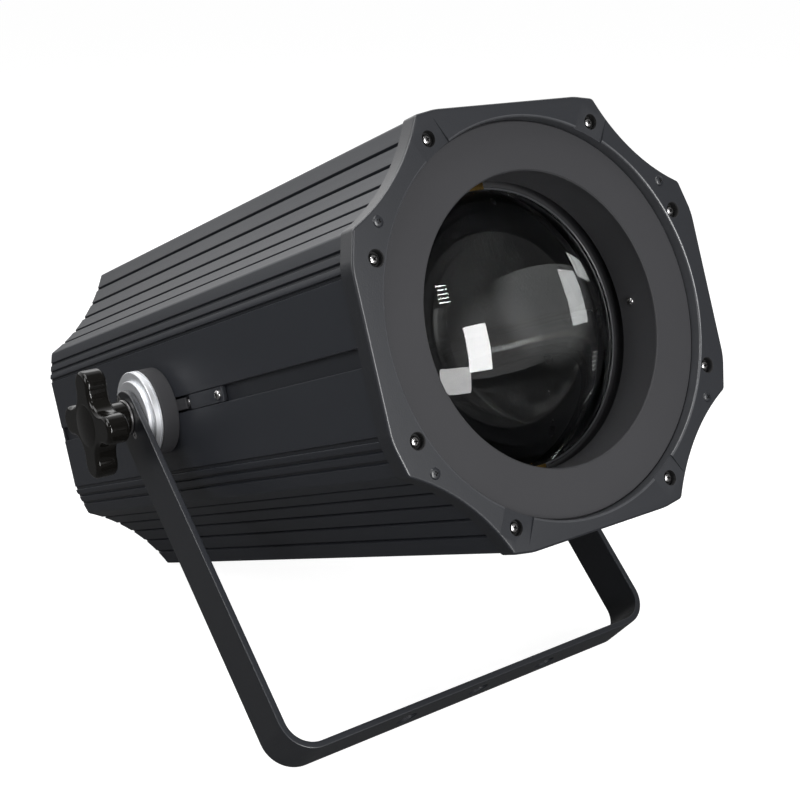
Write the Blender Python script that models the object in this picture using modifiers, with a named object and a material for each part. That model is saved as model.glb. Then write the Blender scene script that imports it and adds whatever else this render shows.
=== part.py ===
"""Zoom stage spotlight: a fluted aluminium housing with a scalloped front bezel, hung in a tilting yoke.

Metres, +Z up, +X along the tilt axis. The light stands as it does when set down on a floor, on the
edge of the yoke's cross bar and on the lower rear edge of the housing, so its beam is raised. The
origin is on the floor, under the middle. The lens, the zoom drive, the lamp module, the power supply
and the rear panel are modelled inside and behind the housing.
"""
from math import acos, asin, atan, atan2, cos, hypot, pi, radians, sin, sqrt, tan

import bmesh
import bpy
from mathutils import Euler, Matrix, Vector

# Posture
BEAM_RAISE = radians(21.8)
FLOOR_CENTRE_Y = 0.0338

# Clearances
SEAT_GAP = 0.0003
SCREW_CLEARANCE = 0.0003

# Housing section: half sizes of the flats, and the hollow corners
SIDE_HALF_WIDTH = 0.1158
TOP_HALF_HEIGHT = 0.1119
CORNER_WIDTH = 0.0685
CORNER_HEIGHT = 0.0702
SIDE_FLAT_HALF = TOP_HALF_HEIGHT - CORNER_HEIGHT
TOP_FLAT_HALF = SIDE_HALF_WIDTH - CORNER_WIDTH
SIDE_LEAN = radians(16.6)
TOP_LEAN = radians(8.7)
SCALLOP_OUT_X = 0.0425
SCALLOP_OUT_Z = 0.0465
SCALLOP_CENTRE_X = SIDE_HALF_WIDTH + SCALLOP_OUT_X
SCALLOP_CENTRE_Z = TOP_HALF_HEIGHT + SCALLOP_OUT_Z
SCALLOP_RADIUS = 0.110
KINK_FILLET = 0.030
CORNER_FILLET = 0.0018
HOUSING_WALL = 0.003

# Flutes of the housing
FLUTE_WIDTH = 0.0024
FLUTE_DEPTH = 0.0016
FLUTE_TAPER = 0.0004
SCALLOP_FLUTES = 5
SCALLOP_FLUTE_PITCH = 0.0124
SIDE_FLUTES = 3
SIDE_FLUTE_PITCH = 0.0061
SIDE_FLUTE_START = 0.0085
TOP_FLUTES = 2
TOP_FLUTE_START = 0.0080

# Lengths, measured back from the bezel's front face
BODY_LENGTH = 0.418
PIVOT_FROM_REAR = 0.1727
PIVOT_SETBACK = BODY_LENGTH - PIVOT_FROM_REAR
BEZEL_THICKNESS = 0.0105
REAR_COVER_THICKNESS = 0.0025
REAR_COVER_INSET = 0.0015

# Side channel, its rail and the parts in it
CHANNEL_HALF_HEIGHT = 0.00475
RAIL_THICKNESS = 0.004
RAIL_HALF_HEIGHT = 0.013
KEY_HALF_HEIGHT = 0.0034
KEY_RECESS = 0.0016
KEY_UNDER_BOSS = 0.003
STRIP_LENGTH = 0.0429
STRIP_RECESS = 0.0001
STRIP_PIN_RADIUS = 0.0019
STRIP_PIN_GAP = 0.0004
STRIP_PIN_SETBACK = 0.0416
STRIP_SCREW_INSET = 0.005
STRIP_HEAD_HEIGHT = 0.0018
STRIP_PIN_DEPTH = PIVOT_SETBACK - STRIP_PIN_SETBACK
KEY_REACH = STRIP_PIN_SETBACK - STRIP_PIN_RADIUS - STRIP_PIN_GAP
STRIP_REAR = STRIP_PIN_DEPTH - STRIP_PIN_RADIUS - STRIP_PIN_GAP
STRIP_FRONT = STRIP_REAR - STRIP_LENGTH
STRIP_SCREW_DEPTH = STRIP_FRONT + STRIP_SCREW_INSET

# Bezel
BEZEL_OVERHANG = 0.001
BEZEL_BORE_MARGIN = 0.0045
BEZEL_BORE_RADIUS = min(SIDE_HALF_WIDTH, TOP_HALF_HEIGHT) - BEZEL_BORE_MARGIN
BEZEL_LIP_WIDTH = 0.0074
BEZEL_LIP_RADIUS = BEZEL_BORE_RADIUS - BEZEL_LIP_WIDTH
BEZEL_LIP_THICKNESS = 0.0019
BEZEL_BORE_CHAMFER = 0.0008
BEZEL_EDGE_ROUND = 0.0014
PAD_WIDTH = 0.019
PAD_DEPTH = 0.0013
PAD_BEYOND_SCREW = 0.0068
PAD_INTO_BORE = 0.006
PAD_LEAD = 0.002

# Bezel screws, and the ports they run into
TOP_SCREW = (TOP_FLAT_HALF + 0.0078, TOP_HALF_HEIGHT - 0.0136)
SIDE_SCREW = (SIDE_HALF_WIDTH - 0.0139, SIDE_FLAT_HALF + 0.0027)
CORNER_SCREW = (SIDE_HALF_WIDTH - 0.0196, TOP_HALF_HEIGHT - 0.0504)
PAD_ANGLE = atan2(TOP_SCREW[1], TOP_SCREW[0])
PAD_REACH = hypot(*TOP_SCREW) + PAD_BEYOND_SCREW
SCREW_RADIUS = 0.0015
SCREW_HEAD_RADIUS = 0.00285
SCREW_HEAD_HEIGHT = 0.0022
SCREW_LENGTH = 0.014
COUNTERBORE_RADIUS = 0.00415
COUNTERBORE_DEPTH = 0.0040
CORNER_RECESS_RADIUS = 0.0050
CORNER_RECESS_DEPTH = 0.0006
PORT_RADIUS = 0.0033
PORT_WEB_HALF = 0.0013

# Front baffle and its tube
BAFFLE_RECESS = 0.0061
BAFFLE_THICKNESS = 0.0022
BAFFLE_GAP = 0.0008
BAFFLE_RADIUS = BEZEL_BORE_RADIUS - BAFFLE_GAP
RING_WIDTH = 0.0284
APERTURE_RADIUS = BAFFLE_RADIUS - RING_WIDTH
APERTURE_LIP = 0.0008
TUBE_INNER_RADIUS = APERTURE_RADIUS + APERTURE_LIP
TUBE_WALL = 0.0016
TUBE_REAR = 0.034
TUBE_SCREW_DEPTH = 0.025

# Lens and its carriage, at the front end of the zoom travel
LENS_TUBE_GAP = 0.0014
LENS_RADIUS = TUBE_INNER_RADIUS - LENS_TUBE_GAP
LENS_SHOULDER = 0.0016
LENS_DOME_RADIUS = LENS_RADIUS - LENS_SHOULDER
LENS_DOME_HEIGHT = 0.028
LENS_RIM_DEPTH = 0.041
LENS_RIM_THICKNESS = 0.005
CARRIAGE_BAND = 0.0109
CARRIAGE_RADIUS = LENS_RADIUS + CARRIAGE_BAND
CARRIAGE_THICKNESS = 0.009
CARRIAGE_LIP = 0.0020
CARRIAGE_EAR_RADIUS = 0.0065
CLIP_WIDTH = 0.010
CLIP_THICKNESS = 0.0009
CLIP_OVERLAP = 0.0014
CLIP_SCREW_OUT = 0.0030
CLIP_SCREW_OFFSET = LENS_RADIUS + CLIP_SCREW_OUT
CLIP_INSET = 0.002
CLIP_SCREW_RADIUS = 0.0010
CLIP_SCREW_LENGTH = 0.006
CLIP_HEAD_RADIUS = 0.0019
CLIP_HEAD_HEIGHT = 0.0012

# Guide rods, lead screw and motor
FRAME_THICKNESS = 0.002
FRAME_HOLE_CLEARANCE = 0.0008
ROD_RADIUS = 0.003
ROD_OUT = 0.0080
ROD_OFFSET = CARRIAGE_RADIUS + ROD_OUT
LEAD_SCREW_RADIUS = 0.0025
LEAD_SCREW_OUT = 0.0055
LEAD_SCREW_OFFSET = CARRIAGE_RADIUS + LEAD_SCREW_OUT
MOTOR_RADIUS = 0.0122
MOTOR_LENGTH = 0.020
MOTOR_FLANGE_HALF = 0.019
MOTOR_FLANGE_THICKNESS = 0.0012

# Lamp module
BULKHEAD_BEHIND_PIVOT = 0.0127
BULKHEAD_DEPTH = PIVOT_SETBACK + BULKHEAD_BEHIND_PIVOT
BULKHEAD_THICKNESS = 0.002
BULKHEAD_HOLE_RADIUS = 0.030
LED_BOARD_HALF = 0.020
LED_BOARD_THICKNESS = 0.0016
LED_CHIP_RADIUS = 0.012
LED_CHIP_HEIGHT = 0.001
HOLDER_RADIUS = 0.027
HOLDER_HEIGHT = 0.0035
REFLECTOR_LENGTH = 0.034
REFLECTOR_THROAT = 0.0135
REFLECTOR_MOUTH = 0.033
REFLECTOR_WALL = 0.0012
SUPPLY_HEIGHT = 0.030
HEATSINK_ROOM = 0.0109
HEATSINK_HALF = TOP_HALF_HEIGHT - HOUSING_WALL - SUPPLY_HEIGHT - HEATSINK_ROOM
HEATSINK_BASE = 0.008
HEATSINK_DEPTH = 0.068
HEATSINK_FINS = 14
FIN_THICKNESS = 0.0022

# Power supply, fan and control board
SUPPLY_HALF_WIDTH = 0.046
SUPPLY_BEHIND_MOTOR = 0.008
SUPPLY_FRONT = BULKHEAD_DEPTH + BULKHEAD_THICKNESS + MOTOR_LENGTH + SUPPLY_BEHIND_MOTOR
SUPPLY_LENGTH = 0.096
TERMINALS_WIDTH = 0.05
TERMINALS_LENGTH = 0.008
TERMINALS_HEIGHT = 0.012
TERMINALS_SINK = 0.001
TERMINALS_LIFT = 0.003
FAN_HALF = 0.046
FAN_DEPTH = 0.025
FAN_BORE_RADIUS = 0.0437
FAN_HUB_RADIUS = 0.0190
FAN_BLADES = 7
FAN_CENTRE_Z = -0.006
FAN_SCREW_OFFSET = 0.04125
FAN_SCREW_RADIUS = 0.0018
FAN_SPOKE_DEPTH = 0.0032
FAN_SPOKE_WIDTH = 0.005
FAN_SPOKE_INSET = 0.0008
FAN_HUB_INSET = 0.002
FAN_ROTOR_FRONT_GAP = 0.0006
FAN_ROTOR_REAR_GAP = 0.002
FAN_TIP_GAP = 0.0021
FAN_BLADE_ROOT_HALF = 0.0055
FAN_BLADE_TIP_HALF = 0.0105
FAN_BLADE_THICKNESS = 0.0016
FAN_BLADE_PITCH = radians(35)
BOARD_HALF_WIDTH = 0.064
BOARD_HALF_HEIGHT = 0.0115
BOARD_THICKNESS = 0.0016
BOARD_SETBACK = 0.0105
PILLAR_X = 0.0045
PILLAR_Z = 0.008
PILLAR_RADIUS = 0.0021
PILLAR_EDGE = 0.0035
GRILLE_SLOTS = 5
GRILLE_PITCH = 0.0070
GRILLE_SLOT_HALF = 0.0019
GRILLE_BAR_HALF = 0.002
GRILLE_RADIUS = 0.0425
CONTROLS_INSET = 0.0299
CONTROLS_Z = TOP_HALF_HEIGHT - CONTROLS_INSET

# Rear panel fittings
DISPLAY_X = -0.028
DISPLAY_HALF_WIDTH = 0.026
DISPLAY_HALF_HEIGHT = 0.009
DISPLAY_FLANGE_THICKNESS = 0.002
DISPLAY_FLANGE_EDGE = 0.0015
DISPLAY_BODY_INSET = 0.001
DISPLAY_SINK = 0.0003
BUTTON_FIRST_X = 0.014
BUTTON_PITCH = 0.0145
BUTTON_COUNT = 4
BUTTON_RADIUS = 0.0036
BUTTON_FLANGE_RADIUS = 0.0045
BUTTON_FLANGE_THICKNESS = 0.0014
BUTTON_STEM = 0.0024
BUTTON_STEM_RADIUS = 0.0015
SWITCH_RADIUS = 0.003
BUTTON_PROUD = 0.0016
BUTTON_TRAVEL = 0.001
BUTTON_HOLE_CLEARANCE = 0.0003
SOCKET_INSET = 0.0319
SOCKET_Z = SOCKET_INSET - TOP_HALF_HEIGHT
POWER_INLET_X = -0.040
POWER_EAR = 0.020
POWER_FLANGE_HALF_WIDTH = 0.0240
POWER_FLANGE_HALF_HEIGHT = 0.0115
POWER_BODY_HALF_WIDTH = 0.0138
POWER_BODY_HALF_HEIGHT = 0.0100
POWER_WALL = 0.0018
BLADE_WIDTH = 0.002
BLADE_HEIGHT = 0.004
BLADE_SPREAD = 0.007
BLADE_RISE = 0.002
DMX_IN_X = 0.006
DMX_OUT_X = 0.046
SOCKET_FLANGE_HALF_WIDTH = 0.013
SOCKET_FLANGE_HALF_HEIGHT = 0.0155
SOCKET_FLANGE_THICKNESS = 0.002
SOCKET_SCREW_X = 0.0095
SOCKET_SCREW_Z = 0.0120
SOCKET_BODY_RADIUS = 0.0115
SOCKET_BODY_LENGTH = 0.022
SOCKET_BORE_RADIUS = 0.0092
SOCKET_BORE_DEPTH = 0.016
SOCKET_FACE_SINK = 0.0016
CONTACT_RADIUS = 0.0012
CONTACT_LENGTH = 0.011
CONTACT_CIRCLE = 0.0046
LATCH_WIDTH = 0.006
LATCH_HEIGHT = 0.0022
LATCH_OFFSET = 0.0134
LATCH_FOOT = 0.0018
LATCH_PROUD = 0.0028
LATCH_SHOULDER = 0.002
LATCH_FOOT_INSET = 0.0001
FUSE_X = 0.082
FUSE_Z = 0.0
FUSE_BODY_RADIUS = 0.0062
FUSE_FLANGE_RADIUS = 0.0085
FUSE_BODY_LENGTH = 0.026
FUSE_CAP_RADIUS = 0.0058
FUSE_CAP_LENGTH = 0.007
FUSE_CAP_SHANK = 0.0040
FUSE_BORE_DEPTH = 0.020
FUSE_FLOOR_GAP = 0.002
FUSE_SLOT_LENGTH = 0.02
FUSE_SLOT_WIDTH = 0.0014
FUSE_SLOT_DEPTH = 0.003
LOOP_X = -0.082
LOOP_HALF_SPREAD = 0.012
LOOP_ROD_RADIUS = 0.0025
LOOP_REACH = 0.0195
LOOP_TAIL = 0.008
LOOP_NUT_RADIUS = 0.0045
LOOP_NUT_HEIGHT = 0.0032

# Tilt joint, from the housing's side outwards
PIVOT_PLATE_RADIUS = 0.0268
PIVOT_PLATE_THICKNESS = 0.0103
FRICTION_DISC_RADIUS = 0.0266
FRICTION_DISC_THICKNESS = 0.0048
FRICTION_STEP_RADIUS = 0.0212
FRICTION_STEP_THICKNESS = 0.0021
STUD_RADIUS = 0.005
STUD_CLEARANCE = 0.0003
STUD_HEAD_RADIUS = 0.0095
STUD_HEAD_THICKNESS = 0.005
DISC_SCREW_OFFSET = 0.0130
DISC_SCREW_RADIUS = 0.0013
DISC_SCREW_HEAD_RADIUS = 0.0018
DISC_SCREW_SEAT = 0.0018
DISC_SCREW_BITE = 0.0035
DISC_DRILL_TIP = 0.0015
ARM_HOLE_RADIUS = 0.0054
KNOB_WASHER_RADIUS = 0.0108
KNOB_WASHER_THICKNESS = 0.0015
KNOB_NECK_RADIUS = 0.0104
KNOB_NECK_LENGTH = 0.0105
KNOB_THICKNESS = 0.014
KNOB_REACH = 0.033
KNOB_TIP_RADIUS = 0.009
KNOB_VALLEY_RADIUS = 0.012
KNOB_LOBES = 4
KNOB_TURN = radians(13)
KNOB_EDGE_ROUND = 0.0018
KNOB_CAP_WALL = 0.0035
KNOB_CROWN = 0.0013
KNOB_CROWN_RADIUS = 0.0135
STUD_STANDOUT = 0.018

# Yoke
YOKE_THICKNESS = 0.004
YOKE_BAR_WIDTH = 0.032
YOKE_DROP = 0.232
YOKE_BEND_RADIUS = 0.020
ARM_TOP_SPARE = 0.004
CLAMP_HOLE_RADIUS = 0.0065
CLAMP_HOLE_SPACING = 0.054

# Bottom vents of the housing
VENT_COUNT = 6
VENT_PITCH = 0.011
VENT_FRONT = 0.150
VENT_WIDTH = 0.0035
VENT_LENGTH = 0.026
VENT_OFFSET_X = 0.024

# Facets of round pieces
FINE_STEPS = 44
LARGE_STEPS = 32
MEDIUM_STEPS = 20
SMALL_STEPS = 10
PIN_STEPS = 8
TINY_STEPS = 6
HEXAGON = 6
SCALLOP_STEPS = 8
INNER_SCALLOP_STEPS = 5
DOME_STEPS = 7
EAR_STEPS = 6
BEND_STEPS = 6
ARM_TOP_STEPS = 12
LOOP_STEPS = 12
LOBE_STEPS = 6
HOLLOW_STEPS = 4
CROWN_STEPS = 3

# How far a cutter runs past what it cuts, and a joined piece into what carries it
OVERCUT = 0.001
OVERLAP = 0.0005
PLANE_TOLERANCE = 1e-6
WELD_DISTANCE = 1e-6
FILLET_SHARE = 0.45

# Directions: local Z of a turned piece, and the plane of a flat one
TO_FRONT = (pi / 2, 0, 0)
TO_BACK = (-pi / 2, 0, 0)

# Places worked out from the sizes above
HOUSING_FRONT = BEZEL_THICKNESS + SEAT_GAP
HOUSING_REAR = BODY_LENGTH - REAR_COVER_THICKNESS - SEAT_GAP
INNER_HALF_WIDTH = SIDE_HALF_WIDTH - HOUSING_WALL
INNER_HALF_HEIGHT = TOP_HALF_HEIGHT - HOUSING_WALL
RAIL_OUTER_X = INNER_HALF_WIDTH - SEAT_GAP
PORT_CLEAR_RADIUS = min(hypot(*SIDE_SCREW), hypot(*TOP_SCREW), hypot(*CORNER_SCREW)) - PORT_RADIUS
PLATE_RADIUS = min(PORT_CLEAR_RADIUS, INNER_HALF_WIDTH, INNER_HALF_HEIGHT) - SEAT_GAP
FRAME_DEPTH = BEZEL_THICKNESS + SEAT_GAP
ROD_FRONT = FRAME_DEPTH + FRAME_THICKNESS + SEAT_GAP
ROD_REAR = BULKHEAD_DEPTH - SEAT_GAP
ENGINE_DEPTH = BULKHEAD_DEPTH + BULKHEAD_THICKNESS + SEAT_GAP
PLATE_INNER_X = SIDE_HALF_WIDTH + SEAT_GAP
DISC_INNER_X = PLATE_INNER_X + PIVOT_PLATE_THICKNESS + SEAT_GAP
ARM_INNER_X = DISC_INNER_X + FRICTION_DISC_THICKNESS + FRICTION_STEP_THICKNESS + SEAT_GAP
ARM_OUTER_X = ARM_INNER_X + YOKE_THICKNESS
WASHER_X = ARM_OUTER_X + SEAT_GAP
KNOB_X = WASHER_X + KNOB_WASHER_THICKNESS + SEAT_GAP
STAR_X = KNOB_X + KNOB_NECK_LENGTH
AXIS_HEIGHT = (HOUSING_REAR - PIVOT_SETBACK) * sin(BEAM_RAISE) + TOP_HALF_HEIGHT * cos(BEAM_RAISE)
YOKE_CORNER_REACH = hypot(YOKE_DROP, YOKE_BAR_WIDTH / 2)
YOKE_LEAN = acos(AXIS_HEIGHT / YOKE_CORNER_REACH) + atan(YOKE_BAR_WIDTH / 2 / YOKE_DROP)


def behind(depth):
    """Local y, from the tilt axis, of a place that lies this far behind the bezel's front face."""
    return depth - PIVOT_SETBACK


def outward(side):
    """Turn that points local Z away from the housing on one side: -1 left, +1 right."""
    return (0, side * pi / 2, 0)


def clear_scene():
    for item in list(bpy.data.objects):
        bpy.data.objects.remove(item, do_unlink=True)


def new_collection(name):
    group = bpy.data.collections.new(name)
    bpy.context.scene.collection.children.link(group)
    return group


clear_scene()
PARTS = new_collection("zoom_stage_spotlight")
CUTTERS = new_collection("cutters")


def new_empty(name, location, turn):
    """Empty on a joint's axis, which carries the pieces that move with it."""
    empty = bpy.data.objects.new(name, None)
    empty.location = location
    empty.rotation_euler = turn
    PARTS.objects.link(empty)
    return empty


HEAD = new_empty("tilt_axis_head", (0, FLOOR_CENTRE_Y, AXIS_HEIGHT), (-BEAM_RAISE, 0, 0))
YOKE = new_empty("tilt_axis_yoke", (0, FLOOR_CENTRE_Y, AXIS_HEIGHT), (-YOKE_LEAN, 0, 0))


# Materials

def new_material(name, color, roughness, metallic=0.0, alpha=1.0):
    material = bpy.data.materials.new(name)
    material.use_nodes = True
    shader = material.node_tree.nodes["Principled BSDF"]
    shader.inputs["Base Color"].default_value = (*color, 1.0)
    shader.inputs["Roughness"].default_value = roughness
    shader.inputs["Metallic"].default_value = metallic
    shader.inputs["Alpha"].default_value = alpha
    material.diffuse_color = (*color, alpha)
    return material


CHARCOAL = ("charcoal_paint", (0.045, 0.048, 0.054), 0.45)
FLAT_BLACK = ("flat_black", (0.030, 0.030, 0.032), 0.75)
STEEL = ("bright_steel", (0.60, 0.60, 0.61), 0.28, 1.0)
ALUMINIUM = ("cast_aluminium", (0.72, 0.72, 0.73), 0.38, 1.0)
BRASS = ("brass", (0.62, 0.47, 0.20), 0.35, 1.0)
GLOSS_BLACK = ("gloss_black", (0.012, 0.012, 0.013), 0.12)
CLEAR_GLASS = ("clear_glass", (0.92, 0.95, 0.96), 0.02, 0.0, 0.25)
CIRCUIT = ("circuit_board", (0.02, 0.16, 0.08), 0.50)
PHOSPHOR = ("phosphor", (0.85, 0.72, 0.20), 0.60)
SOCKET_BLACK = ("socket_black", (0.020, 0.020, 0.022), 0.40)


# Turning helpers: meshes

def apply_curve(curve):
    """Mesh of a curve, with the rims of its caps joined to its walls."""
    holder = bpy.data.objects.new("holder", curve)
    bpy.context.scene.collection.objects.link(holder)
    graph = bpy.context.evaluated_depsgraph_get()
    mesh = bpy.data.meshes.new_from_object(holder.evaluated_get(graph))
    bpy.data.objects.remove(holder)
    work = bmesh.new()
    work.from_mesh(mesh)
    bmesh.ops.remove_doubles(work, verts=work.verts, dist=WELD_DISTANCE)
    bmesh.ops.recalc_face_normals(work, faces=work.faces)
    work.to_mesh(mesh)
    work.free()
    return mesh


def flat_mesh(loops, thickness):
    """Plate with a filled outline in local XY, its thickness centred on it. Inner loops are holes."""
    curve = bpy.data.curves.new("outline", "CURVE")
    curve.dimensions = "2D"
    curve.fill_mode = "BOTH"
    curve.extrude = thickness / 2
    for loop in loops:
        spline = curve.splines.new("POLY")
        spline.points.add(len(loop) - 1)
        for point, (x, y) in zip(spline.points, loop):
            point.co = (x, y, 0, 1)
        spline.use_cyclic_u = True
    return apply_curve(curve)


def rod_mesh(points, radius, sides=8):
    """Round rod along a smooth line of points."""
    curve = bpy.data.curves.new("rod", "CURVE")
    curve.dimensions = "3D"
    curve.bevel_depth = radius
    curve.bevel_resolution = (sides - 4) // 2
    curve.use_fill_caps = True
    spline = curve.splines.new("POLY")
    spline.points.add(len(points) - 1)
    for point, place in zip(spline.points, points):
        point.co = (*place, 1)
    return apply_curve(curve)


def turned_mesh(profile, steps):
    """Solid of revolution about local Z. The profile runs down its outer side, as (radius, height)."""
    mesh = bpy.data.meshes.new("profile")
    closed = profile[0][0] > 0 or profile[-1][0] > 0
    edges = [(i, i + 1) for i in range(len(profile) - 1)]
    if closed:
        edges.append((len(profile) - 1, 0))
    mesh.from_pydata([(r, 0, z) for r, z in profile], edges, [])
    holder = bpy.data.objects.new("holder", mesh)
    bpy.context.scene.collection.objects.link(holder)
    screw = holder.modifiers.new("turn", "SCREW")
    screw.steps = steps
    screw.render_steps = steps
    screw.use_merge_vertices = True
    screw.merge_threshold = WELD_DISTANCE
    graph = bpy.context.evaluated_depsgraph_get()
    turned = bpy.data.meshes.new_from_object(holder.evaluated_get(graph))
    bpy.data.objects.remove(holder)
    return turned


def ring_profile(inner, outer, low, high):
    return [(outer, high), (outer, low), (inner, low), (inner, high)]


def disc_profile(radius, low, high):
    return [(0, high), (radius, high), (radius, low), (0, low)]


def box_mesh(size, centre=(0, 0, 0)):
    work = bmesh.new()
    bmesh.ops.create_cube(work, size=1)
    bmesh.ops.scale(work, vec=size, verts=work.verts)
    bmesh.ops.translate(work, vec=centre, verts=work.verts)
    mesh = bpy.data.meshes.new("box")
    work.to_mesh(mesh)
    work.free()
    return mesh


def cylinder_mesh(radius, low, high, steps=SMALL_STEPS):
    """Cylinder about local Z between two heights."""
    work = bmesh.new()
    bmesh.ops.create_cone(work, cap_ends=True, segments=steps, radius1=radius, radius2=radius,
                          depth=high - low, matrix=Matrix.Translation((0, 0, (high + low) / 2)))
    mesh = bpy.data.meshes.new("cylinder")
    work.to_mesh(mesh)
    work.free()
    return mesh


def copies(mesh, places):
    """One mesh with a separate copy of another at each place, a point or a matrix."""
    work = bmesh.new()
    for place in places:
        matrix = place if isinstance(place, Matrix) else Matrix.Translation(place)
        before = len(work.verts)
        work.from_mesh(mesh)
        work.verts.ensure_lookup_table()
        bmesh.ops.transform(work, matrix=matrix, verts=work.verts[before:])
    joined = bpy.data.meshes.new("copies")
    work.to_mesh(joined)
    work.free()
    return joined


def together(meshes):
    """One mesh from several that don't touch, for a cutter or a group."""
    work = bmesh.new()
    for mesh in meshes:
        work.from_mesh(mesh)
    joined = bpy.data.meshes.new("together")
    work.to_mesh(joined)
    work.free()
    return joined


# Turning helpers: objects

def add_piece(name, mesh, finish, parent=HEAD, location=(0, 0, 0), turn=(0, 0, 0)):
    """A sub-part of the light: one named object with its own material."""
    piece = bpy.data.objects.new(name, mesh)
    mesh.name = name
    mesh.materials.clear()
    mesh.materials.append(new_material(name + "_" + finish[0], *finish[1:]))
    mesh.shade_smooth()
    mesh.set_sharp_from_angle(angle=radians(30))
    piece.location = location
    piece.rotation_euler = turn
    piece.parent = parent
    PARTS.objects.link(piece)
    return piece


def shape(target, operation, mesh, location=None, turn=None):
    """Adds or cuts a shape that is placed as the target is, unless a place is given."""
    tool = bpy.data.objects.new(target.name + "_" + operation.lower(), mesh)
    tool.parent = target.parent
    tool.location = target.location if location is None else location
    tool.rotation_euler = target.rotation_euler if turn is None else turn
    tool.hide_render = True
    tool.display_type = "WIRE"
    CUTTERS.objects.link(tool)
    modifier = target.modifiers.new(tool.name, "BOOLEAN")
    modifier.operation = operation
    modifier.object = tool
    modifier.solver = "EXACT"
    return target


def cut(target, mesh, location=None, turn=None):
    return shape(target, "DIFFERENCE", mesh, location, turn)


def join(target, mesh, location=None, turn=None):
    return shape(target, "UNION", mesh, location, turn)


# Outline helpers

def circle(radius, steps, centre=(0, 0), start=0.0):
    return [(centre[0] + radius * cos(start + 2 * pi * i / steps),
             centre[1] + radius * sin(start + 2 * pi * i / steps)) for i in range(steps)]


def rectangle(half_x, half_y, centre=(0, 0)):
    x, y = centre
    low, high = y - half_y, y + half_y
    return [(x - half_x, low), (x + half_x, low), (x + half_x, high), (x - half_x, high)]


def arc(centre, radius, start, end, steps):
    """Points of an arc, both ends included."""
    return [(centre[0] + radius * cos(start + (end - start) * i / steps),
             centre[1] + radius * sin(start + (end - start) * i / steps)) for i in range(steps + 1)]


def fillet(before, corner, after, radius, steps):
    """Arc that rounds a corner between two straight runs."""
    c = Vector(corner)
    u = (Vector(before) - c).normalized()
    v = (Vector(after) - c).normalized()
    half = acos(max(-1.0, min(1.0, u.dot(v)))) / 2
    shorter = min((Vector(before) - c).length, (Vector(after) - c).length)
    run = min(radius / tan(half), FILLET_SHARE * shorter)
    radius = run * tan(half)
    centre = c + (u + v).normalized() * radius / sin(half)
    first = c + u * run - centre
    last = c + v * run - centre
    turn = first.angle_signed(last) * -1
    points = []
    for i in range(steps + 1):
        spoke = first.copy()
        spoke.rotate(Matrix.Rotation(turn * i / steps, 2))
        points.append(tuple(centre + spoke))
    return points


def line_to_circle(point, direction, centre, radius):
    """Where a ray first meets a circle."""
    away = Vector(point) - Vector(centre)
    along = away.dot(Vector(direction))
    reach = -along - sqrt(along * along - away.length_squared + radius * radius)
    return tuple(Vector(point) + Vector(direction) * reach)


def quarter_path(outset, start_z, scallop_steps, kink_steps, corner_steps):
    """Section of one corner, from the side at start_z up, round the scallop and to the top's middle."""
    half_width = SIDE_HALF_WIDTH + outset
    half_height = TOP_HALF_HEIGHT + outset
    side_kink = (half_width, SIDE_FLAT_HALF + outset * tan(SIDE_LEAN / 2))
    top_kink = (TOP_FLAT_HALF + outset * tan(TOP_LEAN / 2), half_height)
    centre = (SCALLOP_CENTRE_X, SCALLOP_CENTRE_Z)
    radius = SCALLOP_RADIUS - outset
    side_corner = line_to_circle(side_kink, (-sin(SIDE_LEAN), cos(SIDE_LEAN)), centre, radius)
    top_corner = line_to_circle(top_kink, (cos(TOP_LEAN), -sin(TOP_LEAN)), centre, radius)
    first = atan2(side_corner[1] - centre[1], side_corner[0] - centre[0])
    last = atan2(top_corner[1] - centre[1], top_corner[0] - centre[0])
    if last > first:
        last -= 2 * pi
    scallop = arc(centre, radius, first, last, scallop_steps)
    path = [(half_width, start_z)]
    path += fillet((half_width, 0), side_kink, side_corner, KINK_FILLET, kink_steps)
    if corner_steps:
        path += fillet(side_kink, side_corner, scallop[1], CORNER_FILLET, corner_steps)
        path += scallop[1:-1]
        path += fillet(scallop[-2], top_corner, top_kink, CORNER_FILLET, corner_steps)
    else:
        path += scallop
    path += fillet(top_corner, top_kink, (0, half_height), KINK_FILLET, kink_steps)
    return path, side_corner, top_corner


def mirrored(path, x=1, z=1):
    return [(x * px, z * pz) for px, pz in path]


def whole_outline(outset, scallop_steps, kink_steps=3, corner_steps=2):
    """Closed outline with all four scalloped corners."""
    quarter, _, _ = quarter_path(outset, 0.0, scallop_steps, kink_steps, corner_steps)
    quarter = quarter[1:]
    right_top = quarter
    left_top = mirrored(quarter, x=-1)[::-1]
    left_bottom = mirrored(quarter, x=-1, z=-1)
    right_bottom = mirrored(quarter, z=-1)[::-1]
    return right_top + left_top + left_bottom + right_bottom


def path_lengths(path):
    lengths = [0.0]
    for a, b in zip(path, path[1:]):
        lengths.append(lengths[-1] + hypot(b[0] - a[0], b[1] - a[1]))
    return lengths


def path_point(path, lengths, distance):
    """Point at a distance along a path, and the direction into the metal on its left."""
    for i in range(len(path) - 1):
        if distance <= lengths[i + 1] or i == len(path) - 2:
            a, b = Vector(path[i]), Vector(path[i + 1])
            step = (b - a).normalized()
            point = a + step * (distance - lengths[i])
            return point, Vector((-step.y, step.x))


def distance_to(path, lengths, corner):
    """Distance along a path to the point that lies nearest a corner."""
    nearest = min(range(len(path)), key=lambda i: hypot(path[i][0] - corner[0], path[i][1] - corner[1]))
    return lengths[nearest]


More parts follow.
